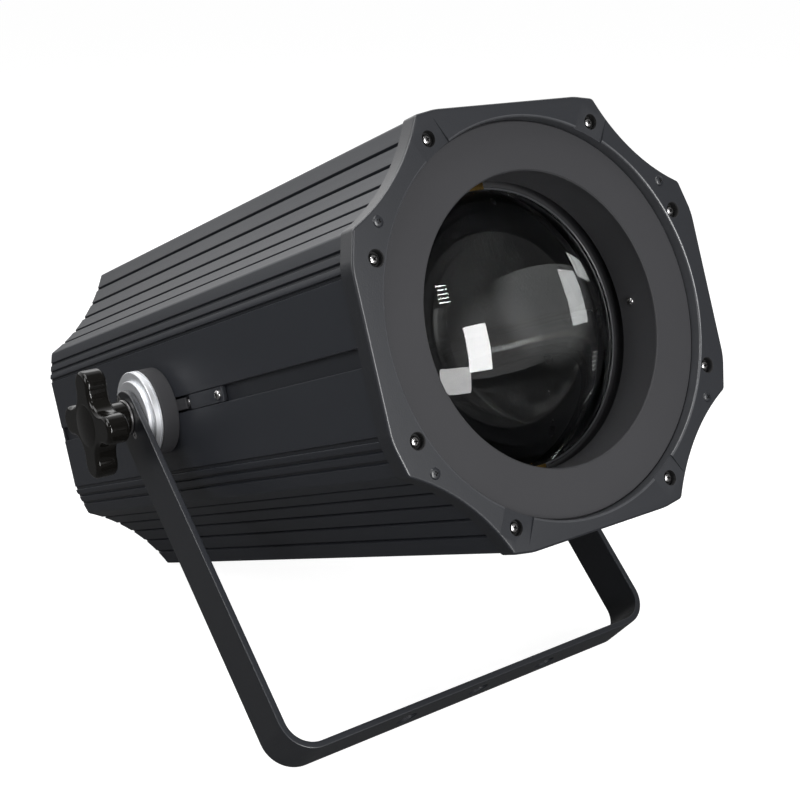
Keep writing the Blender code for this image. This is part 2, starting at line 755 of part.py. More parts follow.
def fluted(path, centres):
    """The path with a flute cut into the metal at each distance in centres."""
    lengths = path_lengths(path)
    result = list(zip(lengths, path))
    for centre in centres:
        low = centre - FLUTE_WIDTH / 2
        high = centre + FLUTE_WIDTH / 2
        result = [item for item in result if not low <= item[0] <= high]
        for distance, depth in ((low, 0), (low + FLUTE_TAPER, FLUTE_DEPTH),
                                (high - FLUTE_TAPER, FLUTE_DEPTH), (high, 0)):
            point, inward = path_point(path, lengths, distance)
            result.append((distance, tuple(point + inward * depth)))
    return [point for _, point in sorted(result, key=lambda item: item[0])]


# Housing shells

def flute_places(path, side_corner, top_corner):
    lengths = path_lengths(path)
    side_end = distance_to(path, lengths, side_corner)
    top_end = distance_to(path, lengths, top_corner)
    middle = (side_end + top_end) / 2
    places = [side_end - SIDE_FLUTE_START - SIDE_FLUTE_PITCH * i for i in range(SIDE_FLUTES)]
    places += [middle + SCALLOP_FLUTE_PITCH * (i - (SCALLOP_FLUTES - 1) / 2) for i in range(SCALLOP_FLUTES)]
    places += [top_end + TOP_FLUTE_START + SIDE_FLUTE_PITCH * i for i in range(TOP_FLUTES)]
    return places


def shell_outline(up):
    """Section of the upper (+1) or lower (-1) shell, between the side channels."""
    outer, side_corner, top_corner = quarter_path(0.0, CHANNEL_HALF_HEIGHT, SCALLOP_STEPS, 2, 2)
    outer = fluted(outer, flute_places(outer, side_corner, top_corner))
    inner, _, _ = quarter_path(-HOUSING_WALL, CHANNEL_HALF_HEIGHT, INNER_SCALLOP_STEPS, 1, 0)
    outer_half = outer + mirrored(outer, x=-1)[::-1]
    inner_half = inner + mirrored(inner, x=-1)[::-1]
    return mirrored(outer_half + inner_half[::-1], z=up)


def port_outline(screw, toward):
    """Screw port in section: a round boss with a web that runs into the housing wall."""
    centre = Vector(screw)
    along = Vector(toward).normalized()
    across = Vector((-along.y, along.x))
    opening = asin(PORT_WEB_HALF / PORT_RADIUS)
    heading = atan2(along.y, along.x)
    points = arc(screw, PORT_RADIUS, heading + opening, heading + 2 * pi - opening, SMALL_STEPS)
    reach = Vector(toward).length
    points.append(tuple(centre + along * reach - across * PORT_WEB_HALF))
    points.append(tuple(centre + along * reach + across * PORT_WEB_HALF))
    return points


def port_loops(up):
    """All six ports of a shell, each with its screw hole."""
    lean_in = max(0, SIDE_SCREW[1] - SIDE_FLAT_HALF) * tan(SIDE_LEAN)
    side_run = (INNER_HALF_WIDTH - lean_in + OVERLAP - SIDE_SCREW[0], 0)
    lean_down = max(0, TOP_SCREW[0] - TOP_FLAT_HALF) * tan(TOP_LEAN)
    top_run = (0, INNER_HALF_HEIGHT - lean_down + OVERLAP - TOP_SCREW[1])
    outlines = [port_outline(SIDE_SCREW, side_run), port_outline(TOP_SCREW, top_run),
                circle(PORT_RADIUS, SMALL_STEPS, CORNER_SCREW)]
    outlines += [circle(SCREW_RADIUS + SCREW_CLEARANCE, PIN_STEPS, screw)
                 for screw in (SIDE_SCREW, TOP_SCREW, CORNER_SCREW)]
    return [mirrored(outline, x=x, z=up) for x in (1, -1) for outline in outlines]


def vent_cutters():
    slot = box_mesh((VENT_LENGTH, VENT_WIDTH, HOUSING_WALL * 4))
    places = []
    for i in range(VENT_COUNT):
        for x in (-VENT_OFFSET_X, VENT_OFFSET_X):
            places.append((x, behind(VENT_FRONT + VENT_PITCH * i), -TOP_HALF_HEIGHT))
    return copies(slot, places)


def build_housing():
    length = HOUSING_REAR - HOUSING_FRONT
    middle = (0, behind((HOUSING_REAR + HOUSING_FRONT) / 2), 0)
    for name, up in (("housing_upper", 1), ("housing_lower", -1)):
        shell = add_piece(name, flat_mesh([shell_outline(up)], length), CHARCOAL, HEAD, middle, TO_FRONT)
        join(shell, flat_mesh(port_loops(up), length - 2 * OVERLAP))
        reach = SIDE_HALF_WIDTH + OVERCUT
        bolt_way = cylinder_mesh(STUD_RADIUS + STUD_CLEARANCE, -reach, reach, MEDIUM_STEPS)
        cut(shell, bolt_way, (0, 0, 0), outward(1))
        if up < 0:
            cut(shell, vent_cutters(), (0, 0, 0), (0, 0, 0))


# Side rails, and the strips and pivots in the side channels

def side_loop(points, side):
    """Outline given as (y, z), for a plate that lies square to the tilt axis."""
    return [(-side * z, y) for y, z in points]


def across(x, depth, z, turn):
    """Matrix of a copy placed on the head, its local Z turned as given."""
    return Matrix.Translation((x, behind(depth), z)) @ Euler(turn).to_matrix().to_4x4()


def screw_mesh(head_radius, head_height, shank_radius, length, steps=SMALL_STEPS):
    """Screw whose head's top is at 0 and whose shank runs along local Z."""
    end = head_height + length
    return turned_mesh([(0, end), (shank_radius, end), (shank_radius, head_height),
                        (head_radius, head_height), (head_radius, 0), (0, 0)], steps)


def build_rail(side, label):
    length = HOUSING_REAR - HOUSING_FRONT
    middle_y = behind((HOUSING_REAR + HOUSING_FRONT) / 2)
    loops = [rectangle(length / 2, RAIL_HALF_HEIGHT, (middle_y, 0)),
             circle(STUD_RADIUS + STUD_CLEARANCE, MEDIUM_STEPS),
             circle(STRIP_PIN_RADIUS + SCREW_CLEARANCE, SMALL_STEPS, (behind(STRIP_PIN_DEPTH), 0)),
             circle(SCREW_RADIUS + SCREW_CLEARANCE, SMALL_STEPS, (behind(STRIP_SCREW_DEPTH), 0))]
    rail = flat_mesh([side_loop(loop, side) for loop in loops], RAIL_THICKNESS)
    middle_x = side * (RAIL_OUTER_X - RAIL_THICKNESS / 2)
    add_piece("side_rail_" + label, rail, CHARCOAL, HEAD, (middle_x, 0, 0), outward(side))


def build_strip(side, label):
    """Filler in the channel, with the screw that holds its front end to the rail."""
    inner = RAIL_OUTER_X + SEAT_GAP
    thickness = SIDE_HALF_WIDTH - STRIP_RECESS - inner
    half_height = CHANNEL_HALF_HEIGHT - SEAT_GAP
    length = STRIP_REAR - STRIP_FRONT
    bar = box_mesh((thickness, length, 2 * half_height), (side * thickness / 2, length / 2, 0))
    strip = add_piece("channel_strip_" + label, bar, CHARCOAL, HEAD, (side * inner, behind(STRIP_FRONT), 0))
    screw = screw_mesh(SCREW_HEAD_RADIUS, STRIP_HEAD_HEIGHT + OVERLAP, SCREW_RADIUS,
                       thickness + RAIL_THICKNESS)
    top = inner + thickness + STRIP_HEAD_HEIGHT
    join(strip, screw, (side * top, behind(STRIP_SCREW_DEPTH), 0), outward(-side))


def build_pivot_plate(side, label):
    """Boss on the housing's side, with a key that lies in the channel."""
    half = PIVOT_PLATE_THICKNESS / 2
    boss = cylinder_mesh(PIVOT_PLATE_RADIUS, -half, half, LARGE_STEPS)
    middle_x = side * (PLATE_INNER_X + PIVOT_PLATE_THICKNESS / 2)
    plate = add_piece("pivot_plate_" + label, boss, FLAT_BLACK, HEAD, (middle_x, 0, 0), outward(side))
    bottom = side * (RAIL_OUTER_X + SEAT_GAP)
    top = side * (SIDE_HALF_WIDTH - KEY_RECESS)
    root = side * (PLATE_INNER_X + PIVOT_PLATE_THICKNESS / 2)
    under = PIVOT_PLATE_RADIUS - KEY_UNDER_BOSS
    key = flat_mesh([[(bottom, -KEY_REACH), (top, -KEY_REACH), (top, -under), (root, -under),
                      (root, under), (bottom, under)]], 2 * KEY_HALF_HEIGHT)
    join(plate, key, (0, 0, 0), (0, 0, 0))
    cut(plate, cylinder_mesh(STUD_RADIUS + STUD_CLEARANCE, -PIVOT_PLATE_THICKNESS, PIVOT_PLATE_THICKNESS,
                             MEDIUM_STEPS))


def build_stud(side, label):
    """Bolt through the rail and the boss: its hexagon head bears on the rail from inside."""
    seat = RAIL_OUTER_X - RAIL_THICKNESS - SEAT_GAP
    end = ARM_OUTER_X + STUD_STANDOUT
    head = cylinder_mesh(STUD_HEAD_RADIUS, -STUD_HEAD_THICKNESS, 0, HEXAGON)
    stud = add_piece("tilt_stud_" + label, head, STEEL, HEAD, (side * seat, 0, 0), outward(side))
    join(stud, cylinder_mesh(STUD_RADIUS, -OVERLAP, end - seat, MEDIUM_STEPS))


def build_strip_pin(side, label):
    """Pin in the rail, which stops the boss's key at the end of the strip."""
    inner = RAIL_OUTER_X - RAIL_THICKNESS
    pin = cylinder_mesh(STRIP_PIN_RADIUS, 0, SIDE_HALF_WIDTH - inner)
    add_piece("channel_pin_" + label, pin, STEEL, HEAD, (side * inner, behind(STRIP_PIN_DEPTH), 0),
              outward(side))


# Front end

def screw_places(spots, depth, turn):
    return [across(x * sx, depth, z * sz, turn) for x, z in spots for sx in (1, -1) for sz in (1, -1)]


def round_rim(mesh, heights, width, segments):
    """Rounds the edges that lie at the given heights of a plate without holes."""
    work = bmesh.new()
    work.from_mesh(mesh)
    bmesh.ops.dissolve_limit(work, angle_limit=radians(1), verts=work.verts, edges=work.edges)
    rim = [edge for edge in work.edges for height in heights
           if all(abs(vert.co.z - height) < PLANE_TOLERANCE for vert in edge.verts)]
    bmesh.ops.bevel(work, geom=rim, offset=width, offset_type="OFFSET", segments=segments,
                    profile=0.5, affect="EDGES", clamp_overlap=False)
    work.to_mesh(mesh)
    work.free()
    return mesh


def build_bezel():
    outline = whole_outline(BEZEL_OVERHANG, SCALLOP_STEPS, 2, 2)
    plate = round_rim(flat_mesh([outline], BEZEL_THICKNESS), (BEZEL_THICKNESS / 2,), BEZEL_EDGE_ROUND, 2)
    bezel = add_piece("front_bezel", plate, CHARCOAL, HEAD, (0, behind(BEZEL_THICKNESS / 2), 0), TO_FRONT)
    lip = BEZEL_THICKNESS - BEZEL_LIP_THICKNESS
    through = BEZEL_THICKNESS + OVERCUT
    bore = turned_mesh([(0, through), (BEZEL_LIP_RADIUS, through), (BEZEL_LIP_RADIUS, lip),
                        (BEZEL_BORE_RADIUS, lip), (BEZEL_BORE_RADIUS, BEZEL_BORE_CHAMFER),
                        (BEZEL_BORE_RADIUS + BEZEL_BORE_CHAMFER * 2, -BEZEL_BORE_CHAMFER),
                        (0, -BEZEL_BORE_CHAMFER)], FINE_STEPS)
    cut(bezel, bore, (0, behind(0), 0), TO_BACK)
    slope = PAD_DEPTH / (PAD_REACH - BEZEL_BORE_RADIUS)
    inner = BEZEL_BORE_RADIUS - PAD_INTO_BORE
    lead = PAD_LEAD
    wedge = flat_mesh([[(inner, -lead), (PAD_REACH + lead / slope, -lead),
                        (inner, PAD_DEPTH + (BEZEL_BORE_RADIUS - inner) * slope)]], PAD_WIDTH)
    turns = [PAD_ANGLE, pi - PAD_ANGLE, PAD_ANGLE - pi, -PAD_ANGLE]
    wedges = copies(wedge, [Matrix.Rotation(-turn, 4, "Y") for turn in turns])
    cut(bezel, wedges, (0, behind(0), 0), (0, 0, 0))
    hole = SCREW_RADIUS + SCREW_CLEARANCE
    sunk = turned_mesh([(0, through), (hole, through), (hole, COUNTERBORE_DEPTH),
                        (COUNTERBORE_RADIUS, COUNTERBORE_DEPTH), (COUNTERBORE_RADIUS, -OVERCUT),
                        (0, -OVERCUT)], SMALL_STEPS)
    cut(bezel, copies(sunk, screw_places((TOP_SCREW, SIDE_SCREW), 0, TO_BACK)), (0, 0, 0), (0, 0, 0))
    dished = turned_mesh([(0, through), (hole, through), (hole, CORNER_RECESS_DEPTH),
                          (CORNER_RECESS_RADIUS, CORNER_RECESS_DEPTH),
                          (CORNER_RECESS_RADIUS, -OVERCUT), (0, -OVERCUT)], SMALL_STEPS)
    cut(bezel, copies(dished, screw_places((CORNER_SCREW,), 0, TO_BACK)), (0, 0, 0), (0, 0, 0))


def build_bezel_screws():
    top = COUNTERBORE_DEPTH - SEAT_GAP - SCREW_HEAD_HEIGHT
    spots = [(x * sx, z * sz) for x, z in (TOP_SCREW, SIDE_SCREW) for sx in (-1, 1) for sz in (-1, 1)]
    for i, (x, z) in enumerate(spots):
        screw = screw_mesh(SCREW_HEAD_RADIUS, SCREW_HEAD_HEIGHT, SCREW_RADIUS, SCREW_LENGTH)
        add_piece("bezel_screw_%d" % (i + 1), screw, STEEL, HEAD, (x, behind(top), z), TO_BACK)


def build_baffle():
    """Ring plate behind the bezel, with the tube that shields the lens from stray light."""
    outer = TUBE_INNER_RADIUS + TUBE_WALL
    back = BAFFLE_RECESS + BAFFLE_THICKNESS
    baffle = turned_mesh([(outer, TUBE_REAR), (outer, back), (BAFFLE_RADIUS, back),
                          (BAFFLE_RADIUS, BAFFLE_RECESS), (APERTURE_RADIUS, BAFFLE_RECESS),
                          (APERTURE_RADIUS, back), (TUBE_INNER_RADIUS, back), (TUBE_INNER_RADIUS, TUBE_REAR)],
                         FINE_STEPS)
    piece = add_piece("front_baffle", baffle, FLAT_BLACK, HEAD, (0, behind(0), 0), TO_BACK)
    hole = cylinder_mesh(SCREW_RADIUS + SCREW_CLEARANCE, -2 * TUBE_WALL, 2 * TUBE_WALL)
    cut(piece, copies(hole, [across(side * TUBE_INNER_RADIUS, TUBE_SCREW_DEPTH, 0, outward(1))
                             for side in (-1, 1)]), (0, 0, 0), (0, 0, 0))
    frame = flat_mesh([circle(PLATE_RADIUS, FINE_STEPS), circle(outer + 2 * SEAT_GAP, FINE_STEPS),
                       circle(LEAD_SCREW_RADIUS + FRAME_HOLE_CLEARANCE, SMALL_STEPS,
                              (0, -LEAD_SCREW_OFFSET))], FRAME_THICKNESS)
    middle = behind(FRAME_DEPTH + FRAME_THICKNESS / 2)
    add_piece("front_frame", frame, FLAT_BLACK, HEAD, (0, middle, 0), TO_FRONT)


# Zoom drive and lens

def ring_with_ears(radius, ears, steps):
    """Round outline with an ear at each (angle, distance, ear radius), the angles rising from 0."""
    points = []
    for i, (angle, distance, ear) in enumerate(ears):
        opening = asin(ear / radius)
        points.append((radius * cos(angle - opening), radius * sin(angle - opening)))
        tip = (distance * cos(angle), distance * sin(angle))
        points += arc(tip, ear, angle - pi / 2, angle + pi / 2, EAR_STEPS)
        following = ears[(i + 1) % len(ears)]
        start = angle + opening
        end = following[0] - asin(following[2] / radius)
        if end < start:
            end += 2 * pi
        count = max(3, round(steps * (end - start) / (2 * pi)))
        points += arc((0, 0), radius, start, end, count)[:-1]
    return points


def build_zoom():
    carriage_middle = LENS_RIM_DEPTH + CARRIAGE_THICKNESS / 2
    ears = ((0, ROD_OFFSET, CARRIAGE_EAR_RADIUS), (pi, ROD_OFFSET, CARRIAGE_EAR_RADIUS),
            (3 * pi / 2, LEAD_SCREW_OFFSET, CARRIAGE_EAR_RADIUS))
    bore = LENS_RADIUS - CARRIAGE_LIP
    loops = [ring_with_ears(CARRIAGE_RADIUS, ears, FINE_STEPS), circle(bore, FINE_STEPS),
             circle(ROD_RADIUS + SEAT_GAP, MEDIUM_STEPS, (ROD_OFFSET, 0)),
             circle(ROD_RADIUS + SEAT_GAP, MEDIUM_STEPS, (-ROD_OFFSET, 0)),
             circle(LEAD_SCREW_RADIUS + SEAT_GAP, MEDIUM_STEPS, (0, -LEAD_SCREW_OFFSET))]
    loops += [circle(CLIP_SCREW_RADIUS + SCREW_CLEARANCE, TINY_STEPS, (0, z * CLIP_SCREW_OFFSET))
              for z in (1, -1)]
    carriage = add_piece("lens_carriage", flat_mesh(loops, CARRIAGE_THICKNESS), FLAT_BLACK, HEAD,
                         (0, behind(carriage_middle), 0), TO_FRONT)
    seat = cylinder_mesh(LENS_RADIUS + SEAT_GAP, -OVERCUT, LENS_RIM_THICKNESS + SEAT_GAP, FINE_STEPS)
    cut(carriage, seat, (0, behind(LENS_RIM_DEPTH), 0), TO_BACK)

    sphere = (LENS_DOME_RADIUS ** 2 + LENS_DOME_HEIGHT ** 2) / (2 * LENS_DOME_HEIGHT)
    span = asin(LENS_DOME_RADIUS / sphere)
    profile = [(0, LENS_RIM_THICKNESS), (LENS_RADIUS, LENS_RIM_THICKNESS), (LENS_RADIUS, 0)]
    for i in range(DOME_STEPS + 1):
        swing = span * (1 - i / DOME_STEPS)
        profile.append((sphere * sin(swing), sphere - LENS_DOME_HEIGHT - sphere * cos(swing)))
    profile[-1] = (0, -LENS_DOME_HEIGHT)
    add_piece("main_lens", turned_mesh(profile, FINE_STEPS), CLEAR_GLASS, HEAD,
              (0, behind(LENS_RIM_DEPTH), 0), TO_BACK)

    clip_rear = LENS_RIM_DEPTH - SEAT_GAP
    clip_inner = LENS_RADIUS - CLIP_OVERLAP
    clip_outer = CARRIAGE_RADIUS - CLIP_INSET
    clip_middle = (clip_inner + clip_outer) / 2
    for label, side in (("top", 1), ("bottom", -1)):
        plate = box_mesh((CLIP_WIDTH, clip_outer - clip_inner, CLIP_THICKNESS))
        clip = add_piece("lens_clip_" + label, plate, BRASS, HEAD,
                         (0, behind(clip_rear - CLIP_THICKNESS / 2), side * clip_middle), TO_BACK)
        screw = screw_mesh(CLIP_HEAD_RADIUS, CLIP_HEAD_HEIGHT + CLIP_THICKNESS / 2, CLIP_SCREW_RADIUS,
                           CLIP_SCREW_LENGTH, PIN_STEPS)
        join(clip, screw, (0, behind(clip_rear - CLIP_THICKNESS - CLIP_HEAD_HEIGHT), side * CLIP_SCREW_OFFSET))

    for label, side in (("left", -1), ("right", 1)):
        rod = cylinder_mesh(ROD_RADIUS, 0, ROD_REAR - ROD_FRONT, MEDIUM_STEPS)
        add_piece("guide_rod_" + label, rod, STEEL, HEAD, (side * ROD_OFFSET, behind(ROD_FRONT), 0), TO_BACK)
    lead = cylinder_mesh(LEAD_SCREW_RADIUS, 0, ENGINE_DEPTH - SEAT_GAP - FRAME_DEPTH, MEDIUM_STEPS)
    add_piece("lead_screw", lead, STEEL, HEAD, (0, behind(FRAME_DEPTH), -LEAD_SCREW_OFFSET), TO_BACK)
    motor = turned_mesh(disc_profile(MOTOR_RADIUS, 0, MOTOR_LENGTH), MEDIUM_STEPS)
    piece = add_piece("zoom_motor", motor, ALUMINIUM, HEAD, (0, behind(ENGINE_DEPTH), -LEAD_SCREW_OFFSET),
                      TO_BACK)
    join(piece, box_mesh((2 * MOTOR_FLANGE_HALF, MOTOR_RADIUS, MOTOR_FLANGE_THICKNESS),
                         (0, 0, MOTOR_FLANGE_THICKNESS / 2)))


# Lamp module

def build_lamp():
    loops = [circle(PLATE_RADIUS, FINE_STEPS), circle(BULKHEAD_HOLE_RADIUS, LARGE_STEPS),
             circle(LEAD_SCREW_RADIUS + FRAME_HOLE_CLEARANCE, SMALL_STEPS, (0, -LEAD_SCREW_OFFSET))]
    add_piece("engine_bulkhead", flat_mesh(loops, BULKHEAD_THICKNESS), ALUMINIUM, HEAD,
              (0, behind(BULKHEAD_DEPTH + BULKHEAD_THICKNESS / 2), 0), TO_FRONT)
    board_front = ENGINE_DEPTH - SEAT_GAP - LED_BOARD_THICKNESS
    board = box_mesh((2 * LED_BOARD_HALF, LED_BOARD_THICKNESS, 2 * LED_BOARD_HALF),
                     (0, LED_BOARD_THICKNESS / 2, 0))
    piece = add_piece("led_board", board, PHOSPHOR, HEAD, (0, behind(board_front), 0))
    join(piece, cylinder_mesh(LED_CHIP_RADIUS, 0, LED_CHIP_HEIGHT + OVERLAP, MEDIUM_STEPS),
         (0, behind(board_front) + OVERLAP, 0), TO_FRONT)
    holder_rear = board_front - SEAT_GAP
    holder = turned_mesh(ring_profile(REFLECTOR_THROAT, HOLDER_RADIUS, 0, HOLDER_HEIGHT), LARGE_STEPS)
    add_piece("led_holder", holder, FLAT_BLACK, HEAD, (0, behind(holder_rear - HOLDER_HEIGHT), 0), TO_BACK)
    reflector_rear = holder_rear - HOLDER_HEIGHT - SEAT_GAP
    profile = [(REFLECTOR_THROAT + REFLECTOR_WALL, REFLECTOR_LENGTH), (REFLECTOR_MOUTH + REFLECTOR_WALL, 0),
               (REFLECTOR_MOUTH, 0), (REFLECTOR_THROAT, REFLECTOR_LENGTH)]
    add_piece("reflector", turned_mesh(profile, LARGE_STEPS), ALUMINIUM, HEAD,
              (0, behind(reflector_rear - REFLECTOR_LENGTH), 0), TO_BACK)

    pitch = (2 * HEATSINK_HALF - FIN_THICKNESS) / (HEATSINK_FINS - 1)
    comb = [(-HEATSINK_HALF, 0), (HEATSINK_HALF, 0)]
    for i in range(HEATSINK_FINS):
        right = HEATSINK_HALF - pitch * i
        left = right - FIN_THICKNESS
        comb += [(right, HEATSINK_DEPTH), (left, HEATSINK_DEPTH)]
        if i < HEATSINK_FINS - 1:
            comb += [(left, HEATSINK_BASE), (right - pitch, HEATSINK_BASE)]
    add_piece("heatsink", flat_mesh([comb], 2 * HEATSINK_HALF), ALUMINIUM, HEAD, (0, behind(ENGINE_DEPTH), 0))


# Rear end

def cooling_slots():
    """Slots of the fan grille, cut short by a circle and split by a bar down the middle."""
    loops = []
    for i in range(-GRILLE_SLOTS, GRILLE_SLOTS + 1):
        z = i * GRILLE_PITCH
        reach = sqrt(GRILLE_RADIUS ** 2 - (abs(z) + GRILLE_SLOT_HALF) ** 2)
        half = (reach - GRILLE_BAR_HALF) / 2
        for side in (-1, 1):
            place = (side * (GRILLE_BAR_HALF + half), FAN_CENTRE_Z + z)
            loops.append(rectangle(half, GRILLE_SLOT_HALF, place))
    return loops


def socket_screw_spots():
    ear = SOCKET_SCREW_X
    spots = [(x + s * ear, SOCKET_Z + s * SOCKET_SCREW_Z) for x in (DMX_IN_X, DMX_OUT_X) for s in (1, -1)]
    return spots + [(POWER_INLET_X + s * POWER_EAR, SOCKET_Z) for s in (1, -1)]


def button_spots():
    return [(BUTTON_FIRST_X + BUTTON_PITCH * i, CONTROLS_Z) for i in range(BUTTON_COUNT)]


def build_rear_cover():
    hole = SCREW_RADIUS + SCREW_CLEARANCE
    loops = [whole_outline(-REAR_COVER_INSET, SCALLOP_STEPS, 1, 1)] + cooling_slots()
    for x, z in (TOP_SCREW, SIDE_SCREW):
        loops += [circle(hole, TINY_STEPS, (x * sx, z * sz)) for sx in (1, -1) for sz in (1, -1)]
    fan_hole = FAN_SCREW_RADIUS + SCREW_CLEARANCE
    loops += [circle(fan_hole, TINY_STEPS, (x * FAN_SCREW_OFFSET, FAN_CENTRE_Z + z * FAN_SCREW_OFFSET))
              for x in (1, -1) for z in (1, -1)]
    loops.append(rectangle(DISPLAY_HALF_WIDTH, DISPLAY_HALF_HEIGHT, (DISPLAY_X, CONTROLS_Z)))
    loops += [circle(BUTTON_RADIUS + BUTTON_HOLE_CLEARANCE, SMALL_STEPS, spot) for spot in button_spots()]
    loops += [circle(SOCKET_BODY_RADIUS + SEAT_GAP, MEDIUM_STEPS, (x, SOCKET_Z))
              for x in (DMX_IN_X, DMX_OUT_X)]
    loops += [circle(hole, TINY_STEPS, spot) for spot in socket_screw_spots()]
    loops.append(rectangle(POWER_BODY_HALF_WIDTH + SEAT_GAP, POWER_BODY_HALF_HEIGHT + SEAT_GAP,
                           (POWER_INLET_X, SOCKET_Z)))
    loops.append(rectangle(LATCH_WIDTH / 2 + SEAT_GAP, LATCH_HEIGHT / 2 + SEAT_GAP,
                           (DMX_OUT_X, SOCKET_Z + LATCH_OFFSET)))
    loops.append(circle(FUSE_BODY_RADIUS + SEAT_GAP, MEDIUM_STEPS, (FUSE_X, FUSE_Z)))
    loops += [circle(LOOP_ROD_RADIUS + SEAT_GAP, PIN_STEPS, (LOOP_X + side * LOOP_HALF_SPREAD, 0))
              for side in (-1, 1)]
    middle = BODY_LENGTH - REAR_COVER_THICKNESS / 2
    cover = flat_mesh(loops, REAR_COVER_THICKNESS)
    add_piece("rear_cover", cover, CHARCOAL, HEAD, (0, behind(middle), 0), TO_FRONT)


def build_controls():
    pane_rear = BODY_LENGTH - DISPLAY_SINK
    flange_rear = BODY_LENGTH - REAR_COVER_THICKNESS - SEAT_GAP
    front = flange_rear - DISPLAY_FLANGE_THICKNESS
    pane = box_mesh((2 * (DISPLAY_HALF_WIDTH - SEAT_GAP), pane_rear - front,
                     2 * (DISPLAY_HALF_HEIGHT - SEAT_GAP)),
                    (0, (pane_rear - front) / 2, 0))
    window = add_piece("display_window", pane, GLOSS_BLACK, HEAD, (DISPLAY_X, behind(front), CONTROLS_Z))
    join(window, box_mesh((2 * (DISPLAY_HALF_WIDTH + DISPLAY_FLANGE_EDGE), DISPLAY_FLANGE_THICKNESS,
                           2 * (DISPLAY_HALF_HEIGHT + DISPLAY_FLANGE_EDGE)),
                          (0, DISPLAY_FLANGE_THICKNESS / 2, 0)))

    stem_end = flange_rear - BUTTON_FLANGE_THICKNESS - BUTTON_STEM
    profile = [(0, BODY_LENGTH + BUTTON_PROUD), (BUTTON_RADIUS, BODY_LENGTH + BUTTON_PROUD),
               (BUTTON_RADIUS, flange_rear), (BUTTON_FLANGE_RADIUS, flange_rear),
               (BUTTON_FLANGE_RADIUS, flange_rear - BUTTON_FLANGE_THICKNESS),
               (BUTTON_STEM_RADIUS, flange_rear - BUTTON_FLANGE_THICKNESS), (BUTTON_STEM_RADIUS, stem_end),
               (0, stem_end)]
    profile = [(radius, depth - BODY_LENGTH) for radius, depth in profile]
    for i, (x, z) in enumerate(button_spots()):
        add_piece("button_%d" % (i + 1), turned_mesh(profile, SMALL_STEPS), FLAT_BLACK, HEAD,
                  (x, behind(BODY_LENGTH), z), TO_BACK)

    board_rear = flange_rear - BOARD_SETBACK
    board = add_piece("control_board", box_mesh((2 * BOARD_HALF_WIDTH, BOARD_THICKNESS, 2 * BOARD_HALF_HEIGHT),
                                                (0, -BOARD_THICKNESS / 2, 0)),
                      CIRCUIT, HEAD, (0, behind(board_rear), CONTROLS_Z))
    display = front - SEAT_GAP - board_rear
    join(board, box_mesh((2 * (DISPLAY_HALF_WIDTH - DISPLAY_BODY_INSET), display + OVERLAP,
                          2 * (DISPLAY_HALF_HEIGHT - DISPLAY_BODY_INSET)),
                         (DISPLAY_X, (display - OVERLAP) / 2, 0)), turn=(0, 0, 0))
    switch = stem_end - BUTTON_TRAVEL - SEAT_GAP - board_rear
    switches = copies(cylinder_mesh(SWITCH_RADIUS, -OVERLAP, switch, SMALL_STEPS),
                      [across(x, board_rear, z, TO_BACK) for x, z in button_spots()])
    join(board, switches, (0, 0, 0), (0, 0, 0))
    pillar = cylinder_mesh(PILLAR_RADIUS, -OVERLAP, flange_rear - board_rear, SMALL_STEPS)
    spots = ((-BOARD_HALF_WIDTH + PILLAR_EDGE, 0), (PILLAR_X, PILLAR_Z), (PILLAR_X, -PILLAR_Z))
    join(board, copies(pillar, [across(x, board_rear, CONTROLS_Z + z, TO_BACK) for x, z in spots]),
         (0, 0, 0), (0, 0, 0))


def build_fan():
    rear = BODY_LENGTH - REAR_COVER_THICKNESS - SEAT_GAP
    front = rear - FAN_DEPTH
    loops = [rectangle(FAN_HALF, FAN_HALF), circle(FAN_BORE_RADIUS, LARGE_STEPS)]
    hole = FAN_SCREW_RADIUS + SCREW_CLEARANCE
    loops += [circle(hole, PIN_STEPS, (x * FAN_SCREW_OFFSET, z * FAN_SCREW_OFFSET))
              for x in (1, -1) for z in (1, -1)]
    frame = add_piece("fan_frame", flat_mesh(loops, FAN_DEPTH), FLAT_BLACK, HEAD,
                      (0, behind(rear - FAN_DEPTH / 2), FAN_CENTRE_Z), TO_FRONT)
    spokes = cylinder_mesh(FAN_HUB_RADIUS - FAN_HUB_INSET, 0, FAN_SPOKE_DEPTH, MEDIUM_STEPS)
    join(frame, spokes, (0, behind(front), FAN_CENTRE_Z), TO_BACK)
    for turn in (0, pi / 2):
        bar = box_mesh((2 * (FAN_BORE_RADIUS + OVERCUT), FAN_SPOKE_DEPTH - FAN_SPOKE_INSET, FAN_SPOKE_WIDTH))
        join(frame, bar, (0, behind(front) + FAN_SPOKE_DEPTH / 2, FAN_CENTRE_Z), (0, pi / 4 + turn, 0))

    rotor_front = front + FAN_SPOKE_DEPTH + FAN_ROTOR_FRONT_GAP
    length = rear - FAN_ROTOR_REAR_GAP - rotor_front
    rotor = add_piece("fan_rotor", cylinder_mesh(FAN_HUB_RADIUS, 0, length, MEDIUM_STEPS), FLAT_BLACK, HEAD,
                      (0, behind(rotor_front), FAN_CENTRE_Z), TO_BACK)
    tip = FAN_BORE_RADIUS - FAN_TIP_GAP
    root = FAN_HUB_RADIUS - FAN_HUB_INSET
    blade = flat_mesh([[(root, -FAN_BLADE_ROOT_HALF), (tip, -FAN_BLADE_TIP_HALF), (tip, FAN_BLADE_TIP_HALF),
                        (root, FAN_BLADE_ROOT_HALF)]], FAN_BLADE_THICKNESS)
    places = [Matrix.Rotation(2 * pi * i / FAN_BLADES, 4, "Z") @ Matrix.Translation((0, 0, length / 2))
              @ Matrix.Rotation(FAN_BLADE_PITCH, 4, "X") for i in range(FAN_BLADES)]
    join(rotor, copies(blade, places))


